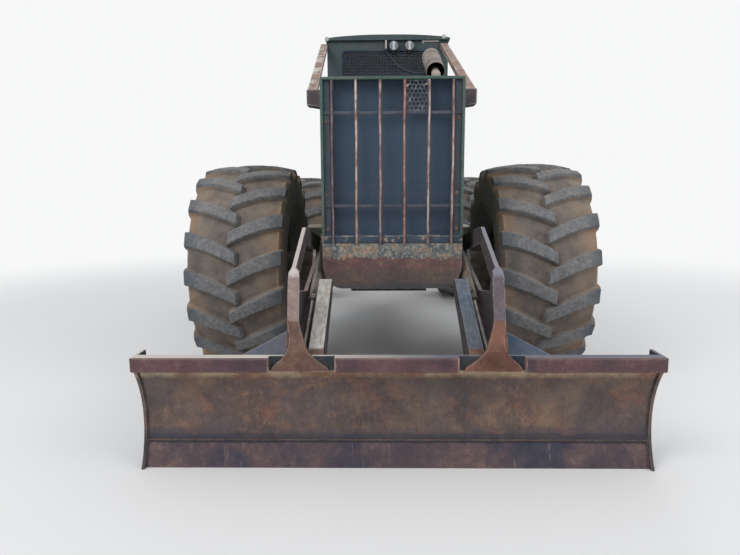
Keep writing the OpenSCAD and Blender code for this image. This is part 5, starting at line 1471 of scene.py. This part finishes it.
def make_seat():
    low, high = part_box("seat")
    cushion_low, cushion_high = low.z + 0.330, low.z + 0.450
    shapes = [
        ("seat_cushion", (low.x + 0.016, low.y + 0.012, cushion_low + 0.014),
         (high.x - 0.016, low.y + 0.43, cushion_high - 0.012), 1),
        ("seat_back", (low.x + 0.036, low.y + 0.435, cushion_high + 0.02),
         (high.x - 0.036, high.y - 0.014, high.z - 0.014), 2),
    ]
    for name, corner, other, across in shapes:
        mesh = padded_mesh(pillow(corner, other, 0.035), 0.010)
        middle = (Vector(corner) + Vector(other)) / 2
        for vertex in mesh.vertices:
            for step in (-0.13, 0.0, 0.13):
                away = abs(vertex.co[across] - middle[across] - step)
                if away < 0.014:
                    deep = 0.006 * (1 - (away / 0.014) ** 2)
                    inward = 2 if across == 1 else 1
                    vertex.co[inward] -= math.copysign(deep, vertex.co[inward] - middle[inward])
        cushion = piece(name, mesh, "front_frame", "vinyl")
    bm = bmesh.new()
    add_bar(bm, (low.x + 0.11, low.y + 0.09, low.z), (high.x - 0.11, low.y + 0.37, low.z + 0.03), 0.006)
    for i in range(7):
        z = low.z + 0.03 + i * 0.034
        add_turned(bm, [(0, 0.100), (0.008, 0.128), (0.026, 0.128), (0.034, 0.100)], (0, low.y + 0.23, z),
                   UP, 28)
    add_bar(bm, (low.x + 0.03, low.y + 0.03, cushion_low - 0.062),
            (high.x - 0.03, low.y + 0.46, cushion_low + 0.006), 0.012)
    add_bar(bm, (low.x + 0.06, low.y + 0.49, cushion_low - 0.02),
            (high.x - 0.06, high.y - 0.008, high.z - 0.10), 0.010)
    base = piece("seat_base", bm, "front_frame", "plastic")
    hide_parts("seat")


# How far out and how high each point of a steering wheel's spoke is
SPOKE = [(0.02, 0.004), (0.09, 0.004), (0.165, 0.014)]


def make_console():
    low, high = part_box("controls")
    front = low.y
    floor_z = CAB_LOW.z + 0.060
    bm = bmesh.new()
    add_bar(bm, (low.x + 0.02, front, floor_z), (high.x - 0.02, front + 0.130, floor_z + 0.70), 0.02)
    add_bar(bm, (low.x, front, floor_z + 0.60), (high.x, front + 0.160, floor_z + 0.76), 0.03)
    for x in (-0.19, -0.115, 0.115, 0.19):
        add_turned(bm, [(0, 0.030), (0.004, 0.030), (0.005, 0.026), (0.001, 0.024), (0.001, 0)],
                   (x, front + 0.159, floor_z + 0.69), (0, 1, 0), 28)
    hub = Vector((0, CAB_LOW.y + 0.333, floor_z + 0.790))
    column = Vector((0, CAB_LOW.y + 0.210, floor_z + 0.600))
    add_tube(bm, [column, column.lerp(hub, 0.5), hub], 0.024, 20)
    for x in (-0.10, 0.10):
        add_bar(bm, (x - 0.035, front + 0.130, floor_z + 0.06), (x + 0.035, front + 0.150, floor_z + 0.19),
                0.006)
    base = piece("console", bm, "front_frame", "plastic")
    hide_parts("controls")
    bm = bmesh.new()
    centre = Vector((0, CAB_LOW.y + 0.330, floor_z + 0.780))
    turn = Matrix.Rotation(math.radians(-25), 3, "X")
    rim = [centre + turn @ Vector((0.174 * u, 0.174 * v, 0.015)) for u, v in circle(48)]
    add_tube(bm, rim, 0.014, 12, closed=True)
    for angle in (1.571, 3.665, 5.760):
        points = [centre + turn @ Vector((r * math.cos(angle), r * math.sin(angle), z)) for r, z in SPOKE]
        add_tube(bm, points, 0.008, 10)
    add_turned(bm, [(-0.012, 0.034), (0.012, 0.036), (0.018, 0.028), (0.020, 0)], centre, turn @ Vector(UP),
               28)
    piece("steering_wheel", bm, "front_frame", "rubber")


make_seat()
make_console()


# Soft edges on the solids that stay

EDGE_WIDTHS = {
    0.003: ["hood", "moldboard", "cutting_edge", "blade_arms", "front_chassis", "rear_chassis",
            "grapple_head", "tong_left", "tong_right"],
    0.004: ["limb_risers", "side_steps", "arch", "boom", "door_left", "door_right", "engine_block"],
    0.005: ["nose"],
    0.006: ["cab_shell", "cab_roof"],
}


def soften_edges():
    for width, name in [(width, name) for width, names in EDGE_WIDTHS.items() for name in names]:
        bevel = NODES[name].modifiers.new("soft edges", "BEVEL")
        bevel.width = width
        bevel.segments = 2
        bevel.limit_method = "ANGLE"
        bevel.angle_limit = math.radians(50)
        bevel.use_clamp_overlap = True


soften_edges()


# Camera and light

BACKDROP = (0.93, 0.935, 0.94)


def make_camera():
    """The photograph's viewpoint. Angles are in degrees."""
    spot, heading, tilt, roll = (-0.0969, -6.7014, 1.5781), 0.94, 90 - 8.417, -0.273
    lens_px, picture_px, sensor_mm = 556.86, 740, 36.0
    camera = bpy.data.cameras.new("viewpoint")
    camera.sensor_width = sensor_mm
    camera.lens = lens_px / picture_px * sensor_mm
    camera.clip_end = 200
    made = put("viewpoint", camera)
    place = Matrix.Translation(spot)
    for degrees, axis in ((heading, "Z"), (tilt, "X"), (roll, "Z")):
        place = place @ Matrix.Rotation(math.radians(degrees), 4, axis)
    made.matrix_world = place
    bpy.context.scene.camera = made


def make_light():
    lamps = [
        ("key", (-5.5, -8.0, 7.5), 420, 5.0),
        ("fill", (7.0, -6.0, 5.0), 240, 6.0),
        ("rear", (2.0, 9.0, 7.0), 320, 6.0),
    ]
    for name, spot, power, size in lamps:
        light = bpy.data.lights.new(name, "AREA")
        light.energy = power
        light.size = size
        made = put(name, light)
        made.location = spot
        made.rotation_euler = (Vector((0, 0, 1.2)) - Vector(spot)).to_track_quat("-Z", "Y").to_euler()
    world = bpy.data.worlds.new("studio")
    bpy.context.scene.world = world
    world.use_nodes = True
    Making.tree = world.node_tree
    soft = Making.tree.nodes["Background"]
    plug(soft.inputs["Color"], (0.93, 0.95, 1.0))
    plug(soft.inputs["Strength"], 0.62)
    white = add("Background", {"Color": BACKDROP, "Strength": 1.0})
    path = add("LightPath").outputs
    seen = larger(path["Is Camera Ray"], larger(path["Is Glossy Ray"], path["Is Transmission Ray"]))
    blend = add("MixShader", {0: seen, 1: soft.outputs[0], 2: white.outputs[0]})
    plug(Making.tree.nodes["World Output"].inputs["Surface"], blend.outputs[0])


def make_floor():
    """A pale floor that fades into the pale backdrop, so no horizon shows."""
    bm = bmesh.new()
    bmesh.ops.create_grid(bm, x_segments=1, y_segments=1, size=60)
    mesh = mesh_from(bm, "floor")
    floor = put("floor", mesh)
    away = vectors("LENGTH", {0: start_material("Studio floor")}, "Value")
    mesh.materials.append(finish_shader((0.80, 0.80, 0.79), 0.9))
    ease = add("MapRange", {0: away, 1: 3.2, 2: 11.0}, interpolation_type="SMOOTHERSTEP").outputs[0]
    far = times(ease, add("LightPath").outputs["Is Camera Ray"])
    backdrop = add("Emission", {"Color": BACKDROP, "Strength": 1.0})
    nodes = Making.tree.nodes
    blend = add("MixShader", {0: far, 1: nodes["Principled BSDF"].outputs[0], 2: backdrop.outputs[0]})
    plug(nodes["Material Output"].inputs["Surface"], blend.outputs[0])
    floor.location.z = -0.001


make_camera()
make_light()
make_floor()
bpy.context.scene.view_settings.view_transform = "Standard"
